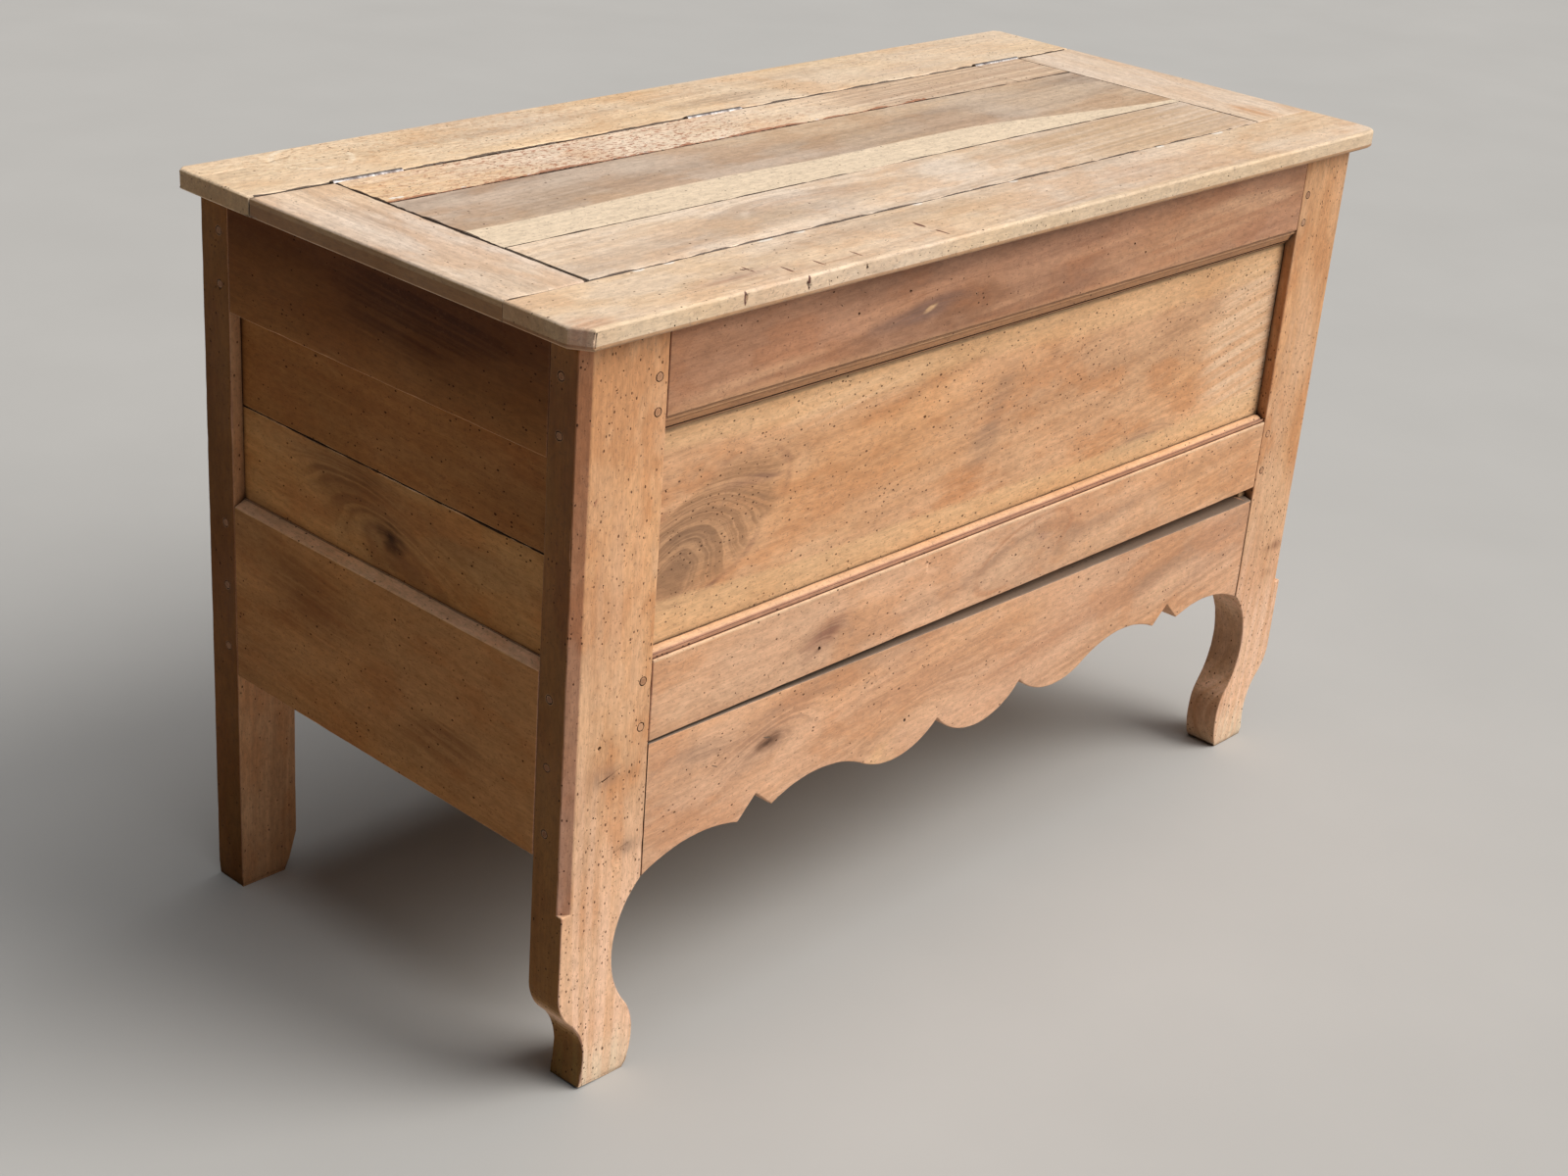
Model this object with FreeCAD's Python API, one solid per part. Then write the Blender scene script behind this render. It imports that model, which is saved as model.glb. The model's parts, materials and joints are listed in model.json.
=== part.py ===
import FreeCAD, Part
import math
import os

# Panelled walnut chest on S-curve front feet, with a hinged plank lid and a full-length
# drawer whose front is the scalloped apron. Millimetres. X runs along the front, Y from the
# front to the back, Z up. The origin is on the floor, under the middle of the top.

Vector = FreeCAD.Vector

# ---- overall sizes
case_length = 1306.0
case_depth = 590.0
height = 850.0
top_thickness = 22.0
top_overhang_end = 22.0
top_overhang_front = 20.0
top_overhang_back = 12.0

# ---- posts and feet
front_post_width = 108.0
front_post_depth = 46.0
rear_post_width = 77.0
rear_post_depth = 47.0
chamfer_on_front = 12.0
chamfer_on_side = 8.0
chamfer_stop_height = 226.0
apron_end_height = 232.0
foot_knee_height = 128.0
foot_knee_round_inset = 5.0
foot_ankle_height = 86.0
foot_ankle_inset = 21.0
foot_ankle_hollow = 4.0
foot_heel_height = 42.0
foot_heel_inset = 38.0
foot_heel_round = 1.2
foot_sole_inset = 33.0
foot_waist_inset = 35.0
foot_calf_inset = 14.0
foot_calf_round = 2.5
foot_toe_height = 45.0
foot_toe_inset = 1.0
foot_toe_round = 1.8
foot_tip_inset = 10.0
rear_taper_height = 48.0
rear_taper_width = 15.0

# ---- rails
front_rail_thickness = 32.0
side_rail_thickness = 28.0
front_top_rail_height = 93.0
front_middle_rail_bottom = 389.0
front_middle_rail_height = 91.0
top_moulding_drop = 19.0
middle_moulding_rise = 8.0
moulding_fillet_width = 3.0
moulding_quirk_width = 1.5
moulding_quirk_depth = 2.0
moulding_depth = 13.0
top_ovolo_belly = (2.2, 7.0)
middle_ovolo_belly = (2.4, 2.6)
moulding_end_setback = 7.0
side_top_rail_height = 123.0
bottom_rail_bottom = 278.0
bottom_rail_height = 213.0
bottom_rail_bevel = 7.0
back_top_rail_height = 93.0

# ---- panels in their grooves
panel_recess = 15.0
panel_thickness = 10.0
groove_depth = 10.0
groove_play = 0.4
panel_edge_play = 2.0
board_gap = 0.8

# ---- mortise-and-tenon joints
tenon_length_front = 42.0
tenon_length_side = 30.0
tenon_length_back = 36.0
tenon_inset = 10.0
tenon_top_inset = 15.0
tenon_play = 0.15
mortise_end_gap = 1.5
peg_radius = 4.8
peg_play = 0.12
peg_length = 34.0
peg_inset_front = 12.0
peg_inset_side = 16.0
top_rail_peg_heights = (8.0, 43.0)
middle_rail_peg_heights = (21.0, 72.0)
side_top_peg_heights = (27.0, 85.0)
bottom_rail_peg_heights = (32.0, 107.0, 182.0)

# ---- floor of the chest and the drawer's carcase
floor_underside = 405.0
floor_thickness = 15.0
floor_gap = 1.0
floor_board_count = 3
ledge_size = 20.0
runner_thickness = 20.0
runner_shelf = 30.0
guide_width = 20.0
guide_height = 30.0
stop_depth = 20.0
stop_height = 25.0

# ---- drawer
drawer_gap_left = 0.8
drawer_gap_right = 2.5
drawer_top_gap_left = 1.0
drawer_top_gap_right = 11.0
drawer_front_thickness = 24.0
drawer_side_play = 1.2
drawer_running_gap = 0.4
drawer_head_gap = 8.6
drawer_side_thickness = 14.0
drawer_side_height = 90.0
drawer_back_thickness = 12.0
drawer_lap = 12.0
drawer_stop_gap = 0.6
drawer_bottom_thickness = 8.0
drawer_bottom_lift = 6.0
drawer_groove_depth = 6.0
drawer_groove_play = 0.2
drawer_bottom_joint_gap = 0.5
drawer_bottom_end_play = 0.6
nail_radius = 1.2
nail_head_radius = 2.6
nail_head_thickness = 1.0
nail_length = 26.0
nail_play = 0.05
nail_heights = (28.0, 52.0, 76.0)

# ---- scalloped lower edge: places along half the drawer front, and heights above the floor
scallop_notch_in_at = 0.140
scallop_lobe_at = 0.253
scallop_swell_at = 0.382
scallop_arch_at = 0.514
scallop_cusp_in_at = 0.646
scallop_notch_out_at = 0.694
scallop_cusp_out_at = 0.741
scallop_end_arch_at = 0.865
centre_lobe_height = 224.0
notch_in_height = 258.0
lobe_height = 230.0
swell_height = 246.0
arch_height = 263.0
cusp_height = 246.0
notch_out_height = 269.0
cusp_out_height = 243.0
end_arch_height = 252.0

# ---- top: fixed back plank and hinged lid
back_plank_width = 127.5
lid_joint_gap = 3.0
lid_joint_bevel = 1.7
lid_seat_gap = 0.4
lid_front_rail_width = 107.0
left_end_board_width = 102.0
right_end_board_width = 116.0
rear_plank_width = 88.0
middle_plank_width = 177.0
left_end_gap = 2.2
right_end_gap = 0.6
plank_gap = 0.6
tongue_thickness = 7.0
tongue_length = 9.0
tongue_play = 0.15
tongue_end_gap = 0.6
tongue_blind_end = 14.0
top_edge_round = 3.5
corner_clip_side = 22.0
corner_clip_front = 15.0
back_corner_clip = 8.0
front_corner_round = 14.0

# ---- let-in butt hinges
hinge_length = 90.0
hinge_middle_shift = -18.0
hinge_knuckles = 5
hinge_axis_drop = 2.2
knuckle_radius = 4.0
knuckle_gap = 0.3
knuckle_clearance = 0.5
leaf_thickness = 1.2
leaf_depth = 17.0
pin_radius = 1.6
pin_play = 0.06
hinge_screws_per_leaf = 3
screw_radius = 1.5
screw_head_radius = 2.8
screw_length = 14.0
screw_play = 0.05
screw_height_share = 0.65

# ---- how far a cutting tool runs past what it cuts, and what counts as level
spare = 1.0
level = 0.01

# ---- derived places
half_length = case_length / 2
top_half_length = half_length + top_overhang_end
top_depth = case_depth + top_overhang_front + top_overhang_back
top_front_y = -top_depth / 2
top_back_y = top_depth / 2
front_y = top_front_y + top_overhang_front
back_y = front_y + case_depth
case_top = height - top_thickness
front_opening = half_length - front_post_width
rear_opening = half_length - rear_post_width
front_post_back_y = front_y + front_post_depth
rear_post_front_y = back_y - rear_post_depth
front_rail_back_y = front_y + front_rail_thickness
back_rail_front_y = back_y - side_rail_thickness
side_inner_x = half_length - side_rail_thickness
front_top_rail_face = case_top - front_top_rail_height
front_top_rail_bottom = front_top_rail_face - top_moulding_drop
front_middle_rail_face = front_middle_rail_bottom + front_middle_rail_height
front_middle_rail_top = front_middle_rail_face + middle_moulding_rise
side_top_rail_bottom = case_top - side_top_rail_height
back_top_rail_bottom = case_top - back_top_rail_height
bottom_rail_top = bottom_rail_bottom + bottom_rail_height
hinge_y = top_back_y - back_plank_width - lid_joint_gap / 2
hinge_z = height - hinge_axis_drop
lid_back_y = hinge_y - lid_joint_gap / 2
lid_bottom = case_top + lid_seat_gap
back_plank_front_y = hinge_y + lid_joint_gap / 2
end_board_front_y = top_front_y + lid_front_rail_width
left_planks_x = -top_half_length + left_end_board_width
right_planks_x = top_half_length - right_end_board_width
runner_top = (front_middle_rail_bottom - drawer_head_gap - drawer_side_height
              - drawer_running_gap)
drawer_side_x = front_opening - drawer_side_play
drawer_side_bottom = runner_top + drawer_running_gap
drawer_side_top = drawer_side_bottom + drawer_side_height
drawer_inner_y = front_y + drawer_front_thickness
drawer_back_y = rear_post_front_y - stop_depth - drawer_stop_gap
drawer_bottom_z = drawer_side_bottom + drawer_bottom_lift
tongue_low = (case_top + height) / 2 - tongue_thickness / 2


# ---- small helpers
def box(x0, x1, y0, y1, z0, z1):
    return Part.makeBox(x1 - x0, y1 - y0, z1 - z0, Vector(x0, y0, z0))


def mirrored(shape):
    """The same shape on the other end of the chest."""
    return shape.mirror(Vector(0, 0, 0), Vector(1, 0, 0))


def rod(start, direction, radius, length):
    return Part.makeCylinder(radius, length, start, direction)


def front_view(x, z):
    return Vector(x, front_y, z)


def end_view(y, z):
    return Vector(0, y, z)


def outline_face(place, start, steps):
    """A closed face: each step is (end,) for a line or (through, end) for an arc."""
    edges = []
    here = start
    for step in steps:
        if len(step) == 1:
            edge = Part.LineSegment(place(*here), place(*step[0]))
        else:
            edge = Part.Arc(place(*here), place(*step[0]), place(*step[1]))
        edges.append(edge.toShape())
        here = step[-1]
    if here != start:
        edges.append(Part.LineSegment(place(*here), place(*start)).toShape())
    return Part.Face(Part.Wire(edges))


def cut_all(shape, tools):
    for tool in tools:
        shape = shape.cut(tool)
    return shape


def fuse_all(shapes):
    whole = shapes[0]
    for shape in shapes[1:]:
        whole = whole.fuse(shape)
    return whole.removeSplitter()


def group(shapes):
    return Part.makeCompound(shapes)


# ---- mortise-and-tenon joints
def tenon_front(inner_x, z_low, z_high, length, face_y, inward, play=0.0, end_gap=0.0):
    """Tenon of a lengthwise rail, at the left end, from the post's inner edge outwards.

    face_y is the rail's outer face and inward is +1 at the front of the chest, -1 at the back.
    """
    y_a = face_y + inward * (panel_recess - play)
    y_b = face_y + inward * (panel_recess + panel_thickness + play)
    return box(-inner_x - length - end_gap, -inner_x, min(y_a, y_b), max(y_a, y_b),
               z_low - play, z_high + play)


def tenon_side(shoulder_y, outward, z_low, z_high, play=0.0, end_gap=0.0):
    """Tenon of a left side rail; outward is -1 towards the front post, +1 to the rear."""
    reach = outward * (tenon_length_side + end_gap)
    y_a = min(shoulder_y, shoulder_y + reach)
    y_b = max(shoulder_y, shoulder_y + reach)
    x_a = -half_length + panel_recess
    return box(x_a - play, x_a + panel_thickness + play, y_a, y_b, z_low - play, z_high + play)


front_joints = (
    (front_top_rail_bottom + tenon_inset, case_top - tenon_top_inset),
    (front_middle_rail_bottom + tenon_inset, front_middle_rail_top - tenon_inset),
)
side_joints = (
    (side_top_rail_bottom + tenon_inset, case_top - tenon_top_inset),
    (bottom_rail_bottom + tenon_inset, bottom_rail_top - tenon_inset),
)
back_joints = (
    (back_top_rail_bottom + tenon_inset, case_top - tenon_top_inset),
    (bottom_rail_bottom + tenon_inset, bottom_rail_top - tenon_inset),
)


def peg_places(kind):
    """Start point and direction of every peg at the left end, by face of the chest."""
    forward = Vector(0, 1, 0)
    places = []
    if kind == "front":
        for lift in top_rail_peg_heights:
            places.append((Vector(-front_opening - peg_inset_front, front_y,
                                  front_top_rail_face + lift), forward))
        for lift in middle_rail_peg_heights:
            places.append((Vector(-front_opening - peg_inset_front, front_y,
                                  front_middle_rail_bottom + lift), forward))
    if kind == "back":
        for lift in top_rail_peg_heights:
            places.append((Vector(-rear_opening - peg_inset_front, back_y,
                                  back_top_rail_bottom + tenon_inset + lift), -forward))
        for lift in bottom_rail_peg_heights:
            places.append((Vector(-rear_opening - peg_inset_front, back_y,
                                  bottom_rail_bottom + lift), -forward))
    if kind in ("side", "side_front"):
        y = front_post_back_y - peg_inset_side
        for lift in side_top_peg_heights:
            places.append((Vector(-half_length, y, side_top_rail_bottom + lift), Vector(1, 0, 0)))
        for lift in bottom_rail_peg_heights:
            places.append((Vector(-half_length, y, bottom_rail_bottom + lift), Vector(1, 0, 0)))
    if kind in ("side", "side_rear"):
        y = rear_post_front_y + peg_inset_side
        for lift in side_top_peg_heights:
            places.append((Vector(-half_length, y, side_top_rail_bottom + lift), Vector(1, 0, 0)))
        for lift in bottom_rail_peg_heights:
            places.append((Vector(-half_length, y, bottom_rail_bottom + lift), Vector(1, 0, 0)))
    return places


def pegs(kind):
    return [rod(start, way, peg_radius, peg_length) for start, way in peg_places(kind)]


def peg_holes(kind):
    return [rod(start - way * spare, way, peg_radius + peg_play,
                spare + peg_length + mortise_end_gap)
            for start, way in peg_places(kind)]


# ---- posts (modelled at the left end, mirrored for the right)
def front_foot_outline():
    """Front view of a left post: outer side down, sole, toe, waist, inner edge up."""
    def at(inset, z):
        return (-half_length + inset, z)

    def from_inner(inset, z):
        return (-front_opening - inset, z)
    ankle = foot_ankle_height
    knee_mid = (foot_knee_height + ankle) / 2
    heel_mid = (ankle + foot_heel_height) / 2
    toe_mid = (ankle + foot_toe_height) / 2
    waist_z = (apron_end_height + ankle) / 2
    steps = [
        (at(0, foot_knee_height),),
        (at(foot_knee_round_inset, knee_mid), at(foot_ankle_inset, ankle)),
        (at((foot_ankle_inset + foot_heel_inset) / 2 + foot_ankle_hollow, heel_mid),
         at(foot_heel_inset, foot_heel_height)),
        (at(foot_heel_inset - foot_heel_round, foot_heel_height / 2), at(foot_sole_inset, 0)),
        (from_inner(foot_tip_inset, 0),),
        (from_inner(foot_toe_inset + foot_toe_round, foot_toe_height / 2),
         from_inner(foot_toe_inset, foot_toe_height)),
        (from_inner(foot_toe_inset + foot_calf_round, toe_mid),
         from_inner(foot_calf_inset, ankle)),
        (from_inner(foot_waist_inset, waist_z), from_inner(0, apron_end_height)),
        (from_inner(0, case_top),),
    ]
    return outline_face(front_view, at(0, case_top), steps)


def outer_corner_chamfer():
    """The long chamfer of a front post, with a square stop above the foot."""
    def plan(x, y):
        return Vector(-half_length + x, front_y + y, chamfer_stop_height)
    run = chamfer_on_front / chamfer_on_side
    start = (-spare, chamfer_on_side + spare / run)
    steps = [((chamfer_on_front + spare * run, -spare),), ((-spare, -spare),)]
    face = outline_face(plan, start, steps)
    return face.extrude(Vector(0, 0, case_top - chamfer_stop_height))


def side_groove(z_low, z_high, y_a, y_b):
    """Groove for the left side panel between two heights."""
    x_a = -half_length + panel_recess - groove_play / 2
    return box(x_a, x_a + panel_thickness + groove_play, y_a, y_b, z_low, z_high)


def front_left_post():
    post = front_foot_outline().extrude(Vector(0, front_post_depth, 0))
    tools = [outer_corner_chamfer()]
    for z_low, z_high in front_joints:
        tools.append(tenon_front(front_opening, z_low, z_high, tenon_length_front, front_y, 1,
                                 tenon_play, mortise_end_gap))
    for z_low, z_high in side_joints:
        tools.append(tenon_side(front_post_back_y, -1, z_low, z_high, tenon_play,
                                mortise_end_gap))
    groove_y = front_y + panel_recess - groove_play / 2
    tools.append(box(-front_opening - groove_depth, -front_opening, groove_y,
                     groove_y + panel_thickness + groove_play,
                     front_middle_rail_top - groove_depth,
                     front_top_rail_bottom + groove_depth))
    tools.append(side_groove(bottom_rail_top - groove_depth, side_top_rail_bottom + groove_depth,
                             front_post_back_y - groove_depth, front_post_back_y))
    return cut_all(post, tools + peg_holes("front") + peg_holes("side_front"))


def rear_left_post():
    post = box(-half_length, -rear_opening, rear_post_front_y, back_y, 0, case_top)

    def place(x, z):
        return Vector(x, rear_post_front_y - spare, z)
    foot_x = -rear_opening - rear_taper_width
    taper = outline_face(place, (-rear_opening + spare, rear_taper_height),
                         [((-rear_opening, rear_taper_height),), ((foot_x, 0),),
                          ((foot_x, -spare),), ((-rear_opening + spare, -spare),)])
    tools = [taper.extrude(Vector(0, rear_post_depth + 2 * spare, 0))]
    for z_low, z_high in back_joints:
        tools.append(tenon_front(rear_opening, z_low, z_high, tenon_length_back, back_y, -1,
                                 tenon_play, mortise_end_gap))
    for z_low, z_high in side_joints:
        tools.append(tenon_side(rear_post_front_y, 1, z_low, z_high, tenon_play,
                                mortise_end_gap))
    groove_y = back_y - panel_recess - panel_thickness - groove_play / 2
    tools.append(box(-rear_opening - groove_depth, -rear_opening, groove_y,
                     groove_y + panel_thickness + groove_play,
                     bottom_rail_top - groove_depth, back_top_rail_bottom + groove_depth))
    tools.append(side_groove(bottom_rail_top - groove_depth, side_top_rail_bottom + groove_depth,
                             rear_post_front_y, rear_post_front_y + groove_depth))
    return cut_all(post, tools + peg_holes("back") + peg_holes("side_rear"))


# ---- front rails with their mouldings
def moulding_end_cuts(z_low, z_high):
    """Wedges that cut the moulding back from both posts, more at the panel than at the face."""
    def plan(x, y):
        return Vector(-front_opening + x, front_y + y, z_low)
    steps = [((moulding_end_setback, panel_recess),), ((0, panel_recess),)]
    wedge = outline_face(plan, (0, 0), steps).extrude(Vector(0, 0, z_high - z_low))
    return [wedge, mirrored(wedge)]


def front_rail(profile_start, profile_steps, joint, end_cuts):
    """A lengthwise rail from its section in end view, with tenons and peg holes."""
    section = outline_face(end_view, profile_start, profile_steps)
    section.translate(Vector(-front_opening, 0, 0))
    rail = section.extrude(Vector(2 * front_opening, 0, 0))
    rail = cut_all(rail, end_cuts)
    tenon = tenon_front(front_opening, joint[0], joint[1], tenon_length_front, front_y, 1)
    rail = fuse_all([rail, tenon, mirrored(tenon)])
    holes = peg_holes("front")
    return cut_all(rail, holes + [mirrored(hole) for hole in holes])


def front_top_rail():
    low = front_top_rail_bottom
    face = front_top_rail_face
    quirk = moulding_fillet_width + moulding_quirk_width
    groove_y = panel_recess - groove_play / 2
    groove_end = groove_y + panel_thickness + groove_play

    def at(depth, z):
        return (front_y + depth, z)
    steps = [
        (at(0, face),),
        (at(moulding_fillet_width, face),),
        (at(moulding_fillet_width, face + moulding_quirk_depth),),
        (at(quirk, face + moulding_quirk_depth),),
        (at(quirk + top_ovolo_belly[0], low + top_ovolo_belly[1]), at(moulding_depth, low)),
        (at(groove_y, low),),
        (at(groove_y, low + groove_depth),),
        (at(groove_end, low + groove_depth),),
        (at(groove_end, low),),
        (at(front_rail_thickness, low),),
        (at(front_rail_thickness, case_top),),
    ]
    cuts = moulding_end_cuts(low, face)
    return front_rail(at(0, case_top), steps, front_joints[0], cuts)


def front_middle_rail():
    top = front_middle_rail_top
    face = front_middle_rail_face
    quirk = moulding_fillet_width + moulding_quirk_width
    groove_y = panel_recess - groove_play / 2
    groove_end = groove_y + panel_thickness + groove_play

    def at(depth, z):
        return (front_y + depth, z)
    steps = [
        (at(0, face),),
        (at(moulding_fillet_width, face),),
        (at(moulding_fillet_width, face - moulding_quirk_depth),),
        (at(quirk, face - moulding_quirk_depth),),
        (at(quirk + middle_ovolo_belly[0], top - middle_ovolo_belly[1]), at(moulding_depth, top)),
        (at(groove_y, top),),
        (at(groove_y, top - groove_depth),),
        (at(groove_end, top - groove_depth),),
        (at(groove_end, top),),
        (at(front_rail_thickness, top),),
        (at(front_rail_thickness, front_middle_rail_bottom),),
    ]
    cuts = moulding_end_cuts(face, top)
    return front_rail(at(0, front_middle_rail_bottom), steps, front_joints[1], cuts)


def front_panel():
    reach = front_opening + groove_depth - panel_edge_play
    lap = groove_depth - panel_edge_play
    y_a = front_y + panel_recess
    return box(-reach, reach, y_a, y_a + panel_thickness,
               front_middle_rail_top - lap, front_top_rail_bottom + lap)


# ---- side rails and boards (left, mirrored for the right)
def side_rail(z_low, z_high, groove_low, groove_high, joint):
    x_in = -half_length + side_rail_thickness
    rail = box(-half_length, x_in, front_post_back_y, rear_post_front_y, z_low, z_high)
    groove = side_groove(groove_low, groove_high, front_post_back_y, rear_post_front_y)
    rail = fuse_all([rail.cut(groove),
                     tenon_side(front_post_back_y, -1, *joint),
                     tenon_side(rear_post_front_y, 1, *joint)])
    return cut_all(rail, peg_holes("side"))


def left_top_rail():
    low = side_top_rail_bottom
    return side_rail(low, case_top, low, low + groove_depth, side_joints[0])


def left_bottom_rail():
    top = bottom_rail_top
    rail = side_rail(bottom_rail_bottom, top, top - groove_depth, top, side_joints[1])

    def place(x, z):
        return Vector(-half_length + x, front_post_back_y, z)
    bevel = outline_face(place, (0, top - bottom_rail_bevel),
                         [((panel_recess - groove_play, top),), ((0, top),)])
    return rail.cut(bevel.extrude(Vector(0, rear_post_front_y - front_post_back_y, 0)))


def side_board(z_low, z_high):
    lap = groove_depth - panel_edge_play
    x_a = -half_length + panel_recess
    return box(x_a, x_a + panel_thickness, front_post_back_y - lap, rear_post_front_y + lap,
               z_low, z_high)


def left_panel_boards():
    """Lower and upper board; their butt joint has shrunk a little open."""
    lap = groove_depth - panel_edge_play
    joint_z = (bottom_rail_top + side_top_rail_bottom) / 2
    lower = side_board(bottom_rail_top - lap, joint_z - board_gap / 2)
    upper = side_board(joint_z + board_gap / 2, side_top_rail_bottom + lap)
    return lower, upper


# ---- back
def back_rail(z_low, z_high, groove_low, groove_high, joint):
    rail = box(-rear_opening, rear_opening, back_rail_front_y, back_y, z_low, z_high)
    groove_y = back_y - panel_recess - panel_thickness - groove_play / 2
    groove = box(-rear_opening, rear_opening, groove_y,
                 groove_y + panel_thickness + groove_play, groove_low, groove_high)
    tenon = tenon_front(rear_opening, joint[0], joint[1], tenon_length_back, back_y, -1)
    rail = fuse_all([rail.cut(groove), tenon, mirrored(tenon)])
    holes = peg_holes("back")
    return cut_all(rail, holes + [mirrored(hole) for hole in holes])


def back_top_rail():
    low = back_top_rail_bottom
    return back_rail(low, case_top, low, low + groove_depth, back_joints[0])


def back_bottom_rail():
    top = bottom_rail_top
    return back_rail(bottom_rail_bottom, top, top - groove_depth, top, back_joints[1])


def back_boards():
    lap = groove_depth - panel_edge_play
    reach = rear_opening + lap
    y_b = back_y - panel_recess
    joint_z = (bottom_rail_top + back_top_rail_bottom) / 2
    lower = box(-reach, reach, y_b - panel_thickness, y_b, bottom_rail_top - lap,
                joint_z - board_gap / 2)
    upper = box(-reach, reach, y_b - panel_thickness, y_b, joint_z + board_gap / 2,
                back_top_rail_bottom + lap)
    return lower, upper


# ---- chest floor
def post_clearances():
    """Room round the four posts for the corners of the floor boards."""
    z_a = floor_underside
    z_b = floor_underside + floor_thickness
    front = box(-half_length, -front_opening + floor_gap, front_y,
                front_post_back_y + floor_gap, z_a, z_b)
    rear = box(-half_length, -rear_opening + floor_gap, rear_post_front_y - floor_gap,
               back_y, z_a, z_b)
    return [front, rear, mirrored(front), mirrored(rear)]


def floor_boards():
    y_a = front_rail_back_y + floor_gap
    y_b = back_rail_front_y - floor_gap
    pitch = (y_b - y_a + floor_gap) / floor_board_count
    half = side_inner_x - floor_gap
    boards = []
    for number in range(floor_board_count):
        start = y_a + number * pitch
        board = box(-half, half, start, start + pitch - floor_gap,
                    floor_underside, floor_underside + floor_thickness)
        boards.append(cut_all(board, post_clearances()))
    return boards


def left_floor_ledge():
    return box(-side_inner_x, -side_inner_x + ledge_size, front_post_back_y,
               rear_post_front_y, floor_underside - ledge_size, floor_underside)


def front_floor_ledge():
    return box(-front_opening, front_opening, front_rail_back_y,
               front_rail_back_y + ledge_size, floor_underside - ledge_size / 2,
               floor_underside)


# ---- drawer runners, guides and stops
def left_drawer_runner():
    return box(-side_inner_x, -front_opening + runner_shelf, front_post_back_y,
               rear_post_front_y, runner_top - runner_thickness, runner_top)


def left_drawer_guide():
    return box(-front_opening - guide_width, -front_opening, front_post_back_y,
               rear_post_front_y, runner_top, runner_top + guide_height)


def left_drawer_stop():
    return box(-front_opening, -front_opening + runner_shelf, rear_post_front_y - stop_depth,
               rear_post_front_y, runner_top, runner_top + stop_height)


# ---- drawer
def scallop_steps(half, left_end, right_end):
    """The apron's lower edge from the left end to the right end."""
    def at(share, z):
        return (share * half, z)
    right = [
        (at(0, centre_lobe_height), at(scallop_notch_in_at, notch_in_height)),
        (at(scallop_lobe_at, lobe_height), at(scallop_swell_at, swell_height)),
        (at(scallop_arch_at, arch_height), at(scallop_cusp_in_at, cusp_height)),
        (at(scallop_notch_out_at, notch_out_height),),
        (at(scallop_cusp_out_at, cusp_out_height),),
        (at(scallop_end_arch_at, end_arch_height), (right_end, apron_end_height)),
    ]
    corners = [step[-1] for step in right]
    left = []
    for index in range(len(right) - 1, 0, -1):
        through = right[index][:-1]
        end = (-corners[index - 1][0], corners[index - 1][1])
        left.append(tuple((-x, z) for x, z in through) + (end,))
    return [((left_end, apron_end_height),)] + left + right


def drawer_front():
    left_end = -front_opening + drawer_gap_left
    right_end = front_opening - drawer_gap_right
    top_left = front_middle_rail_bottom - drawer_top_gap_left
    top_right = front_middle_rail_bottom - drawer_top_gap_right
    steps = scallop_steps(front_opening, left_end, right_end)
    steps.append(((right_end, top_right),))
    face = outline_face(front_view, (left_end, top_left), steps)
    front = face.extrude(Vector(0, drawer_front_thickness, 0))
    y_b = drawer_inner_y
    rebate = box(-front_opening, -drawer_side_x + drawer_side_thickness, y_b - drawer_lap, y_b,
                 drawer_side_bottom, drawer_side_top)
    inner = drawer_side_x - drawer_side_thickness
    groove = box(-inner, inner, y_b - drawer_groove_depth, y_b,
                 drawer_bottom_z - drawer_groove_play,
                 drawer_bottom_z + drawer_bottom_thickness + drawer_groove_play)
    holes = nail_holes()
    return cut_all(front, [rebate, mirrored(rebate), groove] + holes)


def left_drawer_side():
    side = box(-drawer_side_x, -drawer_side_x + drawer_side_thickness,
               drawer_inner_y - drawer_lap, drawer_back_y, drawer_side_bottom, drawer_side_top)
    inner = -drawer_side_x + drawer_side_thickness
    groove = box(inner - drawer_groove_depth, inner, drawer_inner_y - drawer_lap,
                 drawer_back_y, drawer_bottom_z - drawer_groove_play,
                 drawer_bottom_z + drawer_bottom_thickness + drawer_groove_play)
    return cut_all(side.cut(groove), nail_holes())


def drawer_back():
    inner = drawer_side_x - drawer_side_thickness
    board = box(-inner, inner, drawer_back_y - drawer_back_thickness, drawer_back_y,
                drawer_bottom_z + drawer_bottom_thickness + drawer_groove_play,
                drawer_side_top)
    return cut_all(board, nail_holes())


def drawer_bottom_boards():
    """Front and rear bottom board, in the grooves of the sides and the front."""
    half = drawer_side_x - drawer_side_thickness + drawer_groove_depth - drawer_bottom_end_play
    y_a = drawer_inner_y - drawer_groove_depth + drawer_bottom_end_play
    middle = (y_a + drawer_back_y) / 2
    z_b = drawer_bottom_z + drawer_bottom_thickness
    joint = drawer_bottom_joint_gap / 2
    front = box(-half, half, y_a, middle - joint, drawer_bottom_z, z_b)
    rear = box(-half, half, middle + joint, drawer_back_y, drawer_bottom_z, z_b)
    return front, rear


def nail_places():
    """Heads of the left nails: through the side into the front's lap and the back."""
    lap_y = drawer_inner_y - drawer_lap / 2
    back_centre_y = drawer_back_y - drawer_back_thickness / 2
    return [Vector(-drawer_side_x, y, drawer_side_bottom + lift)
            for y in (lap_y, back_centre_y) for lift in nail_heights]


def nail(play=0.0):
    shank = Part.makeCylinder(nail_radius + play, nail_length, Vector(0, 0, 0), Vector(1, 0, 0))
    head = Part.makeCylinder(nail_head_radius + play, nail_head_thickness, Vector(0, 0, 0),
                             Vector(1, 0, 0))
    return shank.fuse(head)


def nails(play=0.0):
    left = []
    for place in nail_places():
        one = nail(play)
        one.translate(place)
        left.append(one)
    return left + [mirrored(one) for one in left]


def nail_holes():
    return nails(nail_play)


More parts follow.
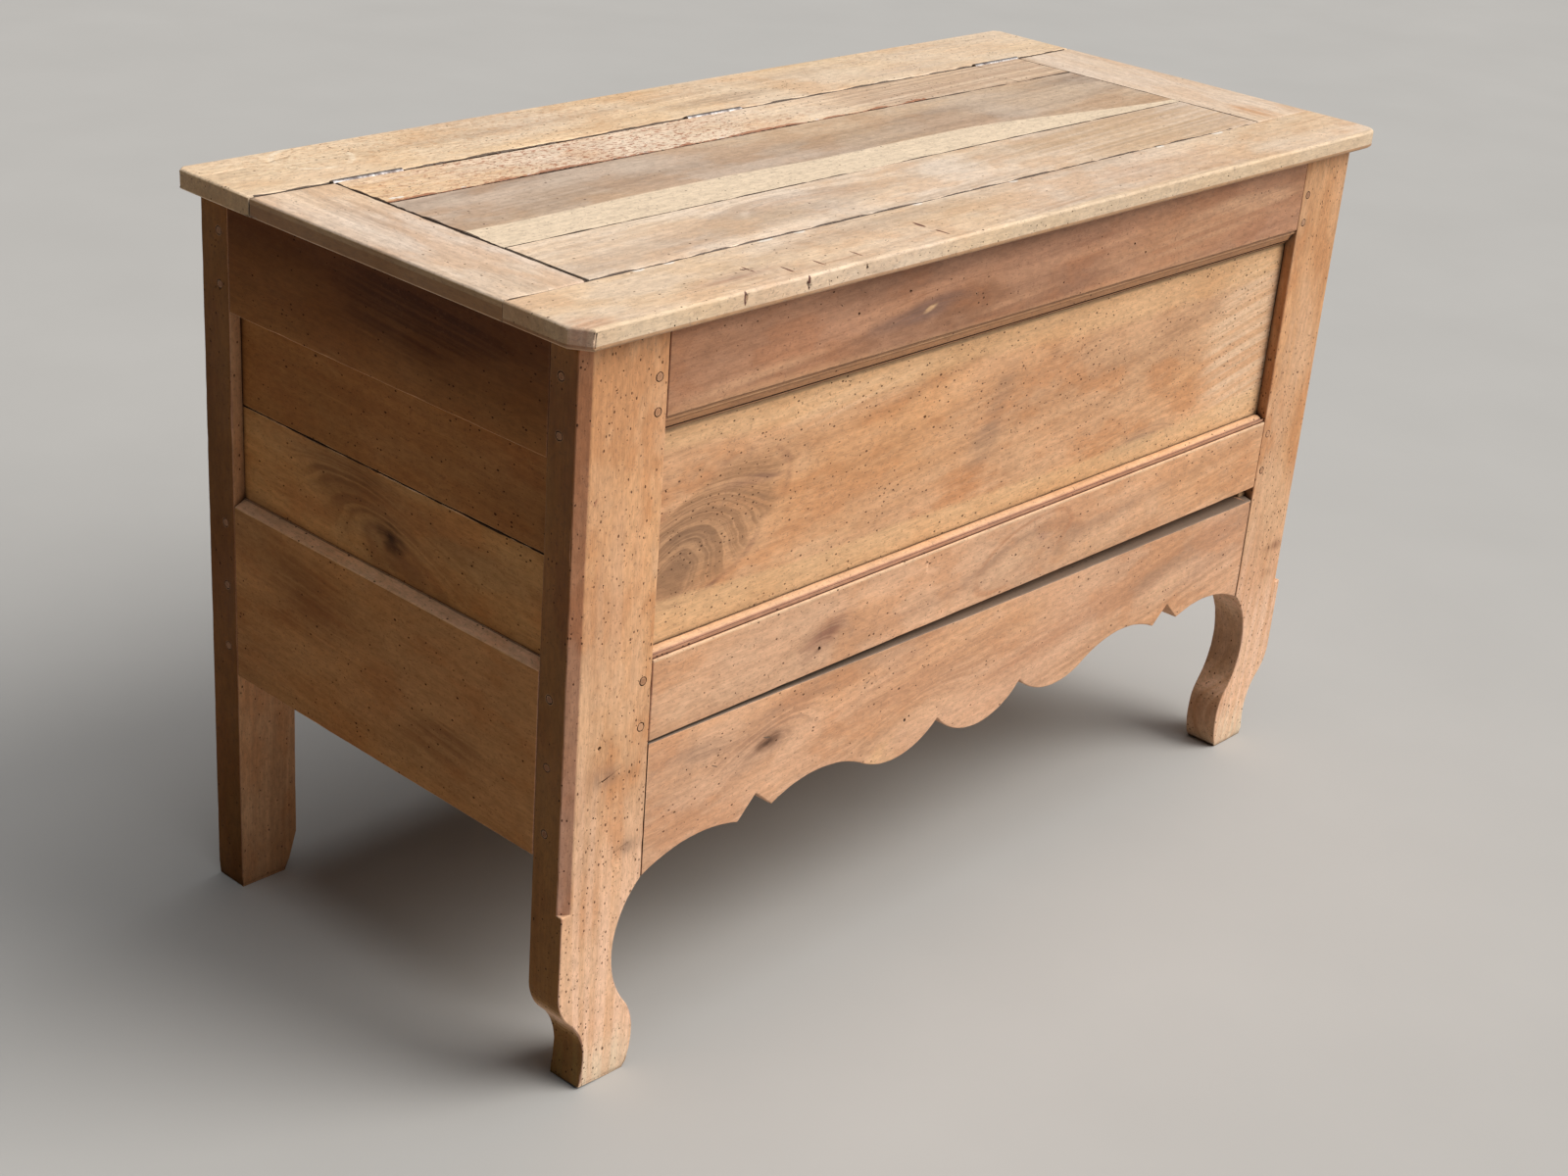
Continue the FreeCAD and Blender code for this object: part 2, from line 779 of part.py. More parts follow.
# ---- top: one outline shared by the back plank and the boards of the lid
def top_blank(z_low):
    """The whole top with eased edges, clipped corners and one rounded front corner."""
    x_l = -top_half_length
    x_r = top_half_length
    y_f = top_front_y
    y_b = top_back_y
    radius = front_corner_round
    arc_mid = radius * (1 - math.sqrt(0.5))

    def plan(x, y):
        return Vector(x, y, z_low)
    steps = [
        ((x_l + corner_clip_front, y_f),),
        ((x_r - radius, y_f),),
        ((x_r - arc_mid, y_f + arc_mid), (x_r, y_f + radius)),
        ((x_r, y_b - back_corner_clip),),
        ((x_r - back_corner_clip, y_b),),
        ((x_l + back_corner_clip, y_b),),
        ((x_l, y_b - back_corner_clip),),
    ]
    face = outline_face(plan, (x_l, y_f + corner_clip_side), steps)
    solid = face.extrude(Vector(0, 0, height - z_low))
    rims = [edge for edge in solid.Edges if edge.BoundBox.ZLength < level]
    return solid.makeFillet(top_edge_round, rims)


def joint_bevel(side):
    """The eased arris along the hinge line; side is -1 on the lid, +1 on the back plank."""
    edge_y = hinge_y + side * lid_joint_gap / 2
    face = outline_face(end_view, (edge_y, height - lid_joint_bevel),
                        [((edge_y, height),), ((edge_y + side * lid_joint_bevel, height),)])
    face.translate(Vector(-top_half_length, 0, 0))
    return face.extrude(Vector(2 * top_half_length, 0, 0))


def hinge_starts():
    """Left end of each hinge: against both end boards, and near the middle."""
    return (left_planks_x, hinge_middle_shift - hinge_length / 2,
            right_planks_x - hinge_length)


def barrel_recesses():
    """Half-round notches that let the knuckles into both edges of the joint."""
    return [rod(Vector(start - knuckle_gap, hinge_y, hinge_z), Vector(1, 0, 0),
                knuckle_radius + knuckle_clearance, hinge_length + 2 * knuckle_gap)
            for start in hinge_starts()]


def top_back_plank():
    blank = top_blank(case_top)
    plank = blank.common(box(-top_half_length, top_half_length, back_plank_front_y, top_back_y,
                             case_top, height))
    return cut_all(plank, [joint_bevel(1)] + barrel_recesses() + hinge_screw_set(1, screw_play))


def lid_piece(x_a, x_b, y_a, y_b):
    return top_blank(lid_bottom).common(box(x_a, x_b, y_a, y_b, lid_bottom, height))


def tongue(x_a, x_b, y_a, y_b, play=0.0):
    return box(x_a, x_b, y_a, y_b, tongue_low - play, tongue_low + tongue_thickness + play)


def lid_front_rail():
    """Full-length rail whose rear edge is grooved for the end boards and the front plank."""
    rail = lid_piece(-top_half_length, top_half_length, top_front_y, end_board_front_y)
    reach = top_half_length - tongue_blind_end + tongue_end_gap
    groove = tongue(-reach, reach,
                    end_board_front_y - tongue_length - tongue_end_gap, end_board_front_y,
                    tongue_play)
    return rail.cut(groove)


def lid_end_board(x_a, x_b, plank_edge_x, inward):
    """An end board with a tongue into the front rail and a groove for the plank ends."""
    y_a = end_board_front_y + plank_gap / 2
    board = lid_piece(x_a, x_b, y_a, lid_back_y)
    t_a = max(x_a, -top_half_length + tongue_blind_end)
    t_b = min(x_b, top_half_length - tongue_blind_end)
    board = board.fuse(tongue(t_a, t_b, end_board_front_y - tongue_length, y_a))
    reach = inward * (tongue_length + tongue_end_gap)
    g_a = min(plank_edge_x, plank_edge_x - reach)
    g_b = max(plank_edge_x, plank_edge_x - reach)
    groove = tongue(g_a, g_b, y_a, lid_back_y - leaf_depth, tongue_play)
    return cut_all(board, [groove, joint_bevel(-1)] + barrel_recesses()).removeSplitter()


def lid_left_end_board():
    return lid_end_board(-top_half_length, left_planks_x, left_planks_x, 1)


def lid_right_end_board():
    return lid_end_board(right_planks_x, top_half_length, right_planks_x, -1)


def lid_planks():
    """Rear, middle and front plank, tongued into the end boards and into one another."""
    x_a = left_planks_x + left_end_gap
    x_b = right_planks_x - right_end_gap
    edges = [lid_back_y, lid_back_y - rear_plank_width,
             lid_back_y - rear_plank_width - middle_plank_width, end_board_front_y]
    planks = []
    for index in range(3):
        y_b = edges[index] - (plank_gap / 2 if index else 0.0)
        y_a = edges[index + 1] + plank_gap / 2
        plank = lid_piece(x_a, x_b, y_a, y_b)
        end_y = y_b - (leaf_depth if index == 0 else 2 * tongue_length)
        side_tongues = tongue(left_planks_x - tongue_length, right_planks_x + tongue_length,
                              y_a + plank_gap, end_y)
        front_tongue = tongue(x_a + tongue_length, x_b - tongue_length,
                              edges[index + 1] - tongue_length, y_a + plank_gap)
        plank = fuse_all([plank, side_tongues, front_tongue])
        if index:
            plank = plank.cut(tongue(x_a, x_b, edges[index] - tongue_length - tongue_end_gap,
                                     y_b, tongue_play))
        planks.append(plank)
    rear_tools = [joint_bevel(-1)] + barrel_recesses() + hinge_screw_set(-1, screw_play)
    planks[0] = cut_all(planks[0], rear_tools)
    return planks


# ---- hinges
def knuckle_span(start, number):
    pitch = hinge_length / hinge_knuckles
    return start + number * pitch, start + (number + 1) * pitch


def hinge_leaf(start, side):
    """side +1 is the leaf on the back plank, with the odd knuckles; -1 is the lid's leaf."""
    own = [n for n in range(hinge_knuckles) if (n % 2 == 0) == (side == 1)]
    outer_y = hinge_y + side * lid_joint_gap / 2
    inner_y = outer_y - side * leaf_thickness
    y_a = min(outer_y, inner_y)
    y_b = max(outer_y, inner_y)
    plate = box(start, start + hinge_length, y_a, y_b, hinge_z - leaf_depth, hinge_z)
    pieces = [plate]
    windows = []
    for number in range(hinge_knuckles):
        x_a, x_b = knuckle_span(start, number)
        if number in own:
            low = x_a + (knuckle_gap / 2 if number else 0.0)
            high = x_b - (knuckle_gap / 2 if number < hinge_knuckles - 1 else 0.0)
            pieces.append(rod(Vector(low, hinge_y, hinge_z), Vector(1, 0, 0), knuckle_radius,
                              high - low))
        else:
            windows.append(box(x_a - knuckle_gap / 2, x_b + knuckle_gap / 2, y_a, y_b,
                               hinge_z - knuckle_radius - knuckle_clearance, hinge_z))
    leaf = cut_all(fuse_all(pieces), windows)
    bore = rod(Vector(start - spare, hinge_y, hinge_z), Vector(1, 0, 0), pin_radius + pin_play,
               hinge_length + 2 * spare)
    return cut_all(leaf, [bore] + hinge_screws_at(start, side, screw_play))


def hinge_pin(start):
    return rod(Vector(start, hinge_y, hinge_z), Vector(1, 0, 0), pin_radius, hinge_length)


def hinge_screws_at(start, side, play=0.0):
    """Countersunk screws of one leaf, driven level into the edge of the board."""
    face_y = hinge_y + side * (lid_joint_gap / 2 - leaf_thickness)
    way = Vector(0, side, 0)
    pitch = hinge_length / hinge_screws_per_leaf
    z = hinge_z - leaf_depth * screw_height_share
    screws = []
    for number in range(hinge_screws_per_leaf):
        x = start + (number + 0.5) * pitch
        head = Part.makeCone(screw_head_radius + play, screw_radius + play, leaf_thickness,
                             Vector(x, face_y, z), way)
        shank = rod(Vector(x, face_y, z), way, screw_radius + play, screw_length + play)
        screws.append(head.fuse(shank))
    return screws


def hinge_screw_set(side, play=0.0):
    screws = []
    for start in hinge_starts():
        screws += hinge_screws_at(start, side, play)
    return screws


# ---- every node of the chest
def all_nodes():
    left_lower, left_upper = left_panel_boards()
    back_lower, back_upper = back_boards()
    front_board, middle_board, rear_board = floor_boards()
    bottom_front, bottom_rear = drawer_bottom_boards()
    rear_plank, middle_plank, front_plank = lid_planks()
    nodes = {
        "front_top_rail": front_top_rail(),
        "front_middle_rail": front_middle_rail(),
        "front_panel": front_panel(),
        "back_top_rail": back_top_rail(),
        "back_bottom_rail": back_bottom_rail(),
        "back_panel_lower_board": back_lower,
        "back_panel_upper_board": back_upper,
        "floor_board_front": front_board,
        "floor_board_middle": middle_board,
        "floor_board_rear": rear_board,
        "floor_ledge_front": front_floor_ledge(),
        "top_back_plank": top_back_plank(),
        "lid_front_rail": lid_front_rail(),
        "lid_left_end_board": lid_left_end_board(),
        "lid_right_end_board": lid_right_end_board(),
        "lid_rear_plank": rear_plank,
        "lid_middle_plank": middle_plank,
        "lid_front_plank": front_plank,
        "drawer_front": drawer_front(),
        "drawer_back": drawer_back(),
        "drawer_bottom_front_board": bottom_front,
        "drawer_bottom_rear_board": bottom_rear,
        "drawer_nails": group(nails()),
        "hinge_plank_screws": group(hinge_screw_set(1)),
        "hinge_lid_screws": group(hinge_screw_set(-1)),
    }
    paired = {
        "front_{}_post": front_left_post(),
        "rear_{}_post": rear_left_post(),
        "{}_top_rail": left_top_rail(),
        "{}_bottom_rail": left_bottom_rail(),
        "{}_panel_lower_board": left_lower,
        "{}_panel_upper_board": left_upper,
        "floor_ledge_{}": left_floor_ledge(),
        "drawer_runner_{}": left_drawer_runner(),
        "drawer_guide_{}": left_drawer_guide(),
        "drawer_stop_{}": left_drawer_stop(),
        "drawer_side_{}": left_drawer_side(),
        "{}_rail_pegs": group(pegs("side")),
    }
    for name, shape in paired.items():
        nodes[name.format("left")] = shape
        nodes[name.format("right")] = mirrored(shape)
    for kind in ("front", "back"):
        left_pegs = pegs(kind)
        nodes[kind + "_rail_pegs"] = group(left_pegs + [mirrored(peg) for peg in left_pegs])
    for place, start in zip(("left", "middle", "right"), hinge_starts()):
        nodes["hinge_" + place + "_plank_leaf"] = hinge_leaf(start, 1)
        nodes["hinge_" + place + "_lid_leaf"] = hinge_leaf(start, -1)
        nodes["hinge_" + place + "_pin"] = hinge_pin(start)
    return nodes


os.makedirs("parts", exist_ok=True)
for node, shape in all_nodes().items():
    shape.exportStep("parts/" + node + ".step")
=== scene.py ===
"""Looks of an old walnut chest: worn boards, pegs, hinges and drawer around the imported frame."""

import json
import math
import random

import bmesh
import bpy
from mathutils import Matrix, Vector, noise
from mathutils.bvhtree import BVHTree

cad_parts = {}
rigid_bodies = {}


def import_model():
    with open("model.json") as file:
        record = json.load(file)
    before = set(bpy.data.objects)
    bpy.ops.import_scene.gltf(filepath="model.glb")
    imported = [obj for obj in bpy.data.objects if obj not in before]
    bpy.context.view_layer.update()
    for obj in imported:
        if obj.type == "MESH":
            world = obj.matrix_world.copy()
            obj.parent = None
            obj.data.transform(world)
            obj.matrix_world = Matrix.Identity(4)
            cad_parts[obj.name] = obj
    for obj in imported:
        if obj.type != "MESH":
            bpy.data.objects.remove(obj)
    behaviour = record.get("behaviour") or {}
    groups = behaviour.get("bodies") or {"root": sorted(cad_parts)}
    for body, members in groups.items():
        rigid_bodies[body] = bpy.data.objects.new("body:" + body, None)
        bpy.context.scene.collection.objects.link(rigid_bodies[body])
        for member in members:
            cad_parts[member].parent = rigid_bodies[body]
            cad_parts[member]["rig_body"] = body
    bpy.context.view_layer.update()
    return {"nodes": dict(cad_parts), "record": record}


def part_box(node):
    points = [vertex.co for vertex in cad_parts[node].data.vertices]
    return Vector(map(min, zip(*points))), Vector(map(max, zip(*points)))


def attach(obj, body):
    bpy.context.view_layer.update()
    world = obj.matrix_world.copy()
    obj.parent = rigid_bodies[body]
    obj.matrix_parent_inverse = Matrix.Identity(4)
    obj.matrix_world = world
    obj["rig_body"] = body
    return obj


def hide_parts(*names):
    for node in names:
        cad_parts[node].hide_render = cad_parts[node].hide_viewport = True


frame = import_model()
nodes = frame["nodes"]
slots = {part["node"]: part["material_slot"] for part in frame["record"]["subparts"]}

# Which of x, y and z run along the grain, across the face and into the board
GRAIN_ORDER = {"x": (0, 2, 1), "flat x": (0, 1, 2), "y": (1, 2, 0), "flat y": (1, 0, 2),
               "z": (2, 0, 1)}

# Wear of the boards, in metres
EDGE_ROUND = 0.0013
EXPOSED_START = 0.0004
EXPOSED_REACH = 0.006
SHORTEST_WORN_EDGE = 0.0035
JOINT_INSET = 0.002
JOINT_REACH = 0.005
SHARP_ANGLE = math.radians(25)
JOINT_ANGLE = math.radians(50)
FLAT_ANGLE = math.radians(0.6)
SMOOTH_ANGLE = math.radians(38)
NOTCH_DEPTH = 0.0006
NOTCH_WITHIN = 0.60
PLANING_WAVE = 0.00025
ARRIS_DENT = 0.0006


def srgb(red, green, blue):
    """A linear colour from display values between 0 and 255."""
    def linear(value):
        value = min(value, 255) / 255
        return value / 12.92 if value <= 0.04045 else ((value + 0.055) / 1.055) ** 2.4
    return (linear(red), linear(green), linear(blue), 1.0)


def middle(node):
    low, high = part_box(node)
    return (low + high) / 2


# ---- shader graphs
class Graph:
    """Builds one material; each method returns the socket that the next call takes."""

    def __init__(self, name):
        self.material = bpy.data.materials.new(name)
        self.material.use_nodes = True
        self.tree = self.material.node_tree
        self.tree.nodes.clear()

    def add(self, kind, inputs, **settings):
        node = self.tree.nodes.new("ShaderNode" + kind)
        for key, value in settings.items():
            setattr(node, key, value)
        for key, value in inputs.items():
            if isinstance(value, bpy.types.NodeSocket):
                self.tree.links.new(value, node.inputs[key])
            else:
                node.inputs[key].default_value = value
        return node

    def math(self, operation, a, b=0.0, c=0.0):
        return self.add("Math", {0: a, 1: b, 2: c}, operation=operation).outputs[0]

    def times(self, a, b):
        return self.math("MULTIPLY", a, b)

    def times_add(self, a, b, c):
        return self.math("MULTIPLY_ADD", a, b, c)

    def vector(self, operation, a, b=(0.0, 0.0, 0.0)):
        node = self.add("VectorMath", {0: a, 1: b}, operation=operation)
        return node.outputs["Value" if operation in ("LENGTH", "DOT_PRODUCT") else "Vector"]

    def scale(self, vector, factor):
        node = self.add("VectorMath", {0: vector, "Scale": factor}, operation="SCALE")
        return node.outputs["Vector"]

    def split(self, vector):
        return self.add("SeparateXYZ", {0: vector}).outputs

    def join(self, x, y, z):
        return self.add("CombineXYZ", {0: x, 1: y, 2: z}).outputs[0]

    def noise(self, vector, detail=2.0, roughness=0.5):
        inputs = {"Vector": vector, "Scale": 1.0, "Detail": detail, "Roughness": roughness}
        return self.add("TexNoise", inputs).outputs

    def noise_line(self, value, detail=2.0, roughness=0.5):
        inputs = {"W": value, "Scale": 1.0, "Detail": detail, "Roughness": roughness}
        return self.add("TexNoise", inputs, noise_dimensions="1D").outputs[0]

    def cells(self, vector):
        return self.add("TexVoronoi", {"Vector": vector, "Scale": 1.0}).outputs

    def mask(self, value, start, end, low=0.0, high=1.0):
        """Smooth step of value from low at start to high at end."""
        inputs = {"Value": value, "From Min": start, "From Max": end, "To Min": low, "To Max": high}
        node = self.add("MapRange", inputs, interpolation_type="SMOOTHSTEP")
        return node.outputs[0]

    def mix(self, factor, a, b, blend="MIX"):
        node = self.add("Mix", {0: factor, 6: a, 7: b}, data_type="RGBA", blend_type=blend)
        return node.outputs[2]

    def finish(self, colour, roughness, normal, **constants):
        inputs = {"Base Color": colour, "Roughness": roughness, "Normal": normal}
        inputs.update({key.replace("_", " "): value for key, value in constants.items()})
        shader = self.add("BsdfPrincipled", inputs)
        self.add("OutputMaterial", {"Surface": shader.outputs[0]})
        return self.material


# ---- wood
POST = (212, 163, 121)
PANEL = (211, 160, 116)
TOP_RAIL = (178, 129, 96)
MIDDLE_RAIL = (213, 165, 126)
DRAWER = (213, 164, 126)
SIDE = (206, 156, 112)
# Painted light: paler tones for the lower side boards, so the sides grow lighter towards the bottom
SIDE_LIT_LOWER = (230, 181, 138)
SIDE_LIT_LOWEST = (248, 195, 150)
PLANK_BACK = (219, 191, 158)
PLANK_REAR = (228, 201, 170)
PLANK_MIDDLE = (192, 167, 142)
PLANK_FRONT = (220, 196, 170)
LID_RAIL = (217, 190, 161)
LID_END = (218, 193, 167)
INNER = (190, 152, 112)
PEG = (190, 142, 106)

SAPWOOD = srgb(234, 212, 184)
CREAM = srgb(238, 194, 144)
WORN_EDGE = srgb(240, 214, 176)
GREY_BROWN = srgb(140, 112, 94)
ORANGE = srgb(206, 140, 90)
# Dark brown for dirt in joints and pores, and for painted shade in hollows and quirks
GRIME_AND_SHADE = srgb(50, 30, 20)
HOLE_DARK = srgb(70, 42, 26)
FILLER = srgb(244, 232, 218)
# Weathered grey of upward faces, darkened as painted shade
WEATHERED_AND_SHADE = srgb(98, 88, 78)
RED_ROT = srgb(170, 108, 78)
WARM = (1.03, 0.99, 0.92, 1.0)
COOL = (0.98, 1.0, 1.06, 1.0)
# Painted shade: colour factors that darken faces looking left or right (the deeper one on the
# posts), and a lighter one for faces leaning that way
SHADED = (0.70, 0.61, 0.35, 1.0)
DEEP_SHADED = (0.43, 0.34, 0.12, 1.0)
HALF_SHADED = (0.74, 0.64, 0.66, 1.0)


class Wood(Graph):
    """Solid timber. Its grain lines follow equal distances from a pith; swirls bend them.

    Points are given in the frame, or with two places on the board's face.
    """

    def __init__(self, node, grain, tone, face=None, pith=(0.16, 0.06), slope=(0.03, 0.03),
                 wave=0.014, seed=0.0, name=None):
        super().__init__(name or node)
        self.node, self.face = node, face
        red, green, blue = tone
        self.light = srgb(red * 1.06, green * 1.07, blue * 1.09)
        self.dark = srgb(red * 0.89, green * 0.86, blue * 0.83)
        self.heart = srgb(red * 0.72, green * 0.70, blue * 0.73)
        self.tan = srgb(red * 0.96, green * 0.86, blue * 0.76)
        self.pale = srgb(red * 1.07, green * 1.12, blue * 1.19)
        self.centre = middle(node)
        self.order = GRAIN_ORDER[grain]
        self.seed = seed
        self.frame_place = self.add("TexCoord", {}).outputs["Object"]
        parts = self.split(self.vector("SUBTRACT", self.frame_place, tuple(self.centre)))
        self.place = self.join(*(parts[index] for index in self.order))
        self.seeded = self.vector("ADD", self.place, (seed * 3.7, seed * 1.9, seed * 2.3))
        drift = self.noise(self.stretched(1.6, 4.5), detail=2.0)["Color"]
        drift = self.vector("SUBTRACT", drift, (0.5, 0.5, 0.5))
        drift = self.vector("MULTIPLY", drift, (0.0, wave * 2, wave * 2))
        self.bent = self.vector("ADD", self.place, drift)
        along, across, depth = self.split(self.bent)[:3]
        pith_across = self.times_add(along, slope[0], pith[0])
        pith_depth = self.times_add(along, slope[1], pith[1])
        to_pith = self.join(self.math("SUBTRACT", across, pith_across),
                            self.math("SUBTRACT", depth, pith_depth), 0.0)
        self.level = self.vector("LENGTH", to_pith)
        self.wander = self.math("SUBTRACT", self.streaks(8.0, 24.0, detail=3.0), 0.5)
        self.figure = 0.0
        self.tints = []

    def stretched(self, along, across):
        """The place, with each direction's noise frequency per metre."""
        return self.vector("MULTIPLY", self.seeded, (along, across, across))

    def streaks(self, along, across, detail=2.0, roughness=0.5):
        """Noise drawn out along the grain."""
        return self.noise(self.stretched(along, across), detail, roughness)[0]

    def local(self, point):
        """A point as (along, across, depth) from the board's middle."""
        offset = Vector(on(self.face, point)) - self.centre
        return tuple(offset[index] for index in self.order)

    def distance(self, point, stretch, tilt=0.0, exact=False):
        """Distance from a point, shrunk along a grain tilted by some radians."""
        place = self.place if exact else self.bent
        offset = self.vector("SUBTRACT", place, self.local(point))
        turned = self.add("VectorRotate", {"Vector": offset, "Angle": tilt},
                          rotation_type="Z_AXIS").outputs[0]
        return self.vector("LENGTH", self.vector("MULTIPLY", turned, (1 / stretch, 1.0, 0.35)))

    def swirl(self, point, size, stretch=1.6, lift=1.3, tilt=0.0, figure=0.2):
        """Grain lines that close round a point; figure makes its rings stand out."""
        distance = self.times_add(self.wander, size * 0.25, self.distance(point, stretch, tilt))
        inside = self.mask(distance, size, 0.0)
        self.level = self.times_add(inside, size * lift, self.level)
        rings = self.mask(inside, 0.0, 0.35, 0.0, figure)
        self.figure = self.math("MAXIMUM", rings, self.figure)

    def tint(self, inside, strength, colour, streaky=False):
        """Lays a colour over the wood, given as display values or as srgb makes it."""
        colour = colour if len(colour) == 4 else srgb(*colour)
        self.tints.append((self.times(inside, strength), colour, streaky))

    def patch(self, point, size, stretch, colour, strength, tilt=0.0, full=0.1, soft=True,
              exact=False):
        """A coloured patch, longer along the grain; a soft one is ragged and streaky.

        It is fully coloured up to the share `full` of its size.
        """
        distance = self.distance(point, stretch, tilt, exact)
        if soft:
            ragged = size * (1.3 if full < 0.5 else 0.4)
            distance = self.times_add(self.wander, ragged, distance)
        inside = self.mask(distance, size, size * full)
        self.tint(inside, strength, colour, soft)

    def paint(self, rows):
        """Patches on the face: two places, size, stretch, colour, strength, tilt and full."""
        for row in rows:
            self.patch(row[:2], *row[2:])

    def rim(self, point, size, stretch, width, colour, strength, tilt=0.0):
        """A ragged line round a point, as of a stain or of changing wood."""
        distance = self.times_add(self.wander, size * 0.3, self.distance(point, stretch, tilt))
        off = self.math("ABSOLUTE", self.math("SUBTRACT", distance, size))
        broken = self.streaks(14.0, 14.0, detail=2.0)
        inside = self.times(self.mask(off, width, width * 0.2), self.mask(broken, 0.36, 0.56))
        self.tint(inside, strength, colour)

    def stripe(self, low, high, colour, strength, soft=0.0006):
        """A level stripe between two heights, as on a moulding."""
        value = self.split(self.frame_place)[2]
        inside = self.times(self.mask(value, low - soft, low + soft),
                            self.mask(value, high + soft, high - soft))
        self.tint(inside, strength, colour)

    def flecks(self, places, size, stretch, colour):
        """Small flecks of another colour at exact places."""
        for place in places:
            self.patch(place, size, stretch, colour, 0.95, soft=False, exact=True, full=0.7)

    def pitting(self, point, size, stretch, colour, strength):
        """Crumbling, worm-eaten wood: dense small flecks within a patch."""
        distance = self.times_add(self.wander, size, self.distance(point, stretch))
        flecks = self.streaks(110.0, 260.0, detail=3.0, roughness=0.7)
        inside = self.times(self.mask(distance, size, size * 0.3), self.mask(flecks, 0.52, 0.60))
        self.tint(inside, strength, colour)

    def knot(self, point, size, stretch=1.5):
        """A small dark knot with the grain flowing round it."""
        self.swirl(point, size * 3.0, stretch=3.0, lift=0.9, tilt=-0.3)
        self.patch(point, size * 2.6, 2.8, self.heart, 0.6, tilt=-0.3)
        self.patch(point, size, stretch, srgb(110, 76, 54), 0.75, tilt=-0.3, full=0.5)
        self.patch(point, size * 0.5, stretch, HOLE_DARK, 0.8, tilt=-0.3, soft=False)

    def band(self, low, high, colour, strength, drift=0.0, soft=0.003, taper=0.0):
        """A stripe along the grain; taper narrows it over the board's far third."""
        along, across = self.split(self.bent)[:2]
        value = self.times_add(along, -drift, across)
        narrowing = self.times(self.mask(along, 0.2, 0.58), taper)
        upper = self.math("SUBTRACT", high, self.math("ADD", value, narrowing))
        inside = self.times(self.mask(value, low - soft, low + soft), self.mask(upper, -soft, soft))
        self.tint(inside, strength, colour)

    def seam(self, axis, place, width=0.0016, strength=0.9, colour=GRIME_AND_SHADE, limits=None):
        """Dirt or weathering beside a joint at one place on an axis; limits are along x."""
        parts = self.split(self.frame_place)
        offset = self.math("ABSOLUTE", self.math("SUBTRACT", parts[axis], place))
        uneven = self.noise(self.vector("MULTIPLY", self.frame_place, (26.0, 26.0, 26.0)),
                            detail=3.0)[0]
        reach = self.mask(uneven, 0.3, 0.7, width * 0.3, width * 1.5)
        inside = self.math("LESS_THAN", offset, reach)
        if limits:
            inside = self.times(inside, self.math("GREATER_THAN", parts[0], limits[0]))
            inside = self.times(inside, self.math("LESS_THAN", parts[0], limits[1]))
        self.tint(inside, strength, colour)

    def build(self, worms=0.5, roughness=0.58, contrast=0.5, heart=0.4, hollow_shade=0.85, edges=0.25,
              shaded=1.0, shade=SHADED, weathered_shaded_top=0.0, blush=0.4, shine=0.35):
        phase = self.math("ADD", self.level, self.seed * 0.37)
        broad = self.noise_line(self.times(phase, 26.0), detail=1.5)
        lines = self.noise_line(self.times(phase, 95.0), detail=2.5, roughness=0.6)
        fade = self.mask(self.streaks(2.2, 9.0, detail=2.0), 0.32, 0.68)
        tone = self.times_add(broad, 0.45, self.times(lines, 0.55))
        visible = self.times_add(fade, 0.6 * contrast, 0.4 * contrast)
        visible = self.times_add(self.figure, 0.45, visible)
        tone = self.times(self.mask(tone, 0.40, 0.60), visible)
        colour = self.mix(tone, self.light, self.dark)
        heartwood = self.noise_line(self.times(phase, 13.0), detail=3.0)
        region = self.streaks(1.2, 3.5, detail=1.0)
        heartwood = self.mask(self.times(heartwood, region), 0.26, 0.38)
        colour = self.mix(self.times(heartwood, heart), colour, self.heart)

        cloud = self.streaks(5.0, 13.0, detail=3.0, roughness=0.6)
        colour = self.scale(colour, self.mask(cloud, 0.3, 0.7, 0.90, 1.09))
        hue = self.noise(self.vector("ADD", self.stretched(3.0, 6.0), (9.0, 4.0, 2.0)))[0]
        tint = self.mix(self.mask(hue, 0.35, 0.65), WARM, COOL)
        colour = self.mix(1.0, colour, tint, "MULTIPLY")
        blotch = self.noise(self.vector("ADD", self.stretched(8.0, 17.0), (5.0, 2.0, 8.0)),
                            detail=3.5, roughness=0.62)[0]
        colour = self.mix(self.mask(blotch, 0.49, 0.62, 0.0, blush), colour, self.tan)
        colour = self.mix(self.mask(blotch, 0.49, 0.36, 0.0, blush), colour, self.pale)
        streaky = self.mask(lines, 0.38, 0.60, 0.45, 1.0)
        for factor, tint, follows in self.tints:
            if follows:
                factor = self.times(factor, streaky)
            colour = self.mix(factor, colour, tint)
        rings = self.mask(self.noise_line(self.times(phase, 130.0), detail=1.0), 0.57, 0.64)
        ring_strength = self.times_add(self.figure, 0.34, 0.16 * contrast)
        colour = self.mix(self.times(rings, ring_strength), colour, self.heart)

        mottle = self.streaks(70.0, 170.0, detail=3.0, roughness=0.65)
        colour = self.scale(colour, self.mask(mottle, 0.3, 0.7, 0.88, 1.08))
        fibres = self.streaks(16.0, 620.0, detail=2.0, roughness=0.6)
        colour = self.scale(colour, self.mask(fibres, 0.3, 0.7, 0.95, 1.04))
        specks = self.streaks(230.0, 330.0, detail=2.0, roughness=0.7)
        colour = self.mix(self.mask(specks, 0.57, 0.69, 0.0, 0.46), colour, self.heart)
        pores = self.mask(self.streaks(130.0, 1500.0, detail=0.0), 0.62, 0.76)
        colour = self.mix(self.times(pores, 0.16), colour, GRIME_AND_SHADE)
        holes = self.worm_holes(worms)
        colour = self.mix(self.times(holes, 0.85), colour, HOLE_DARK)

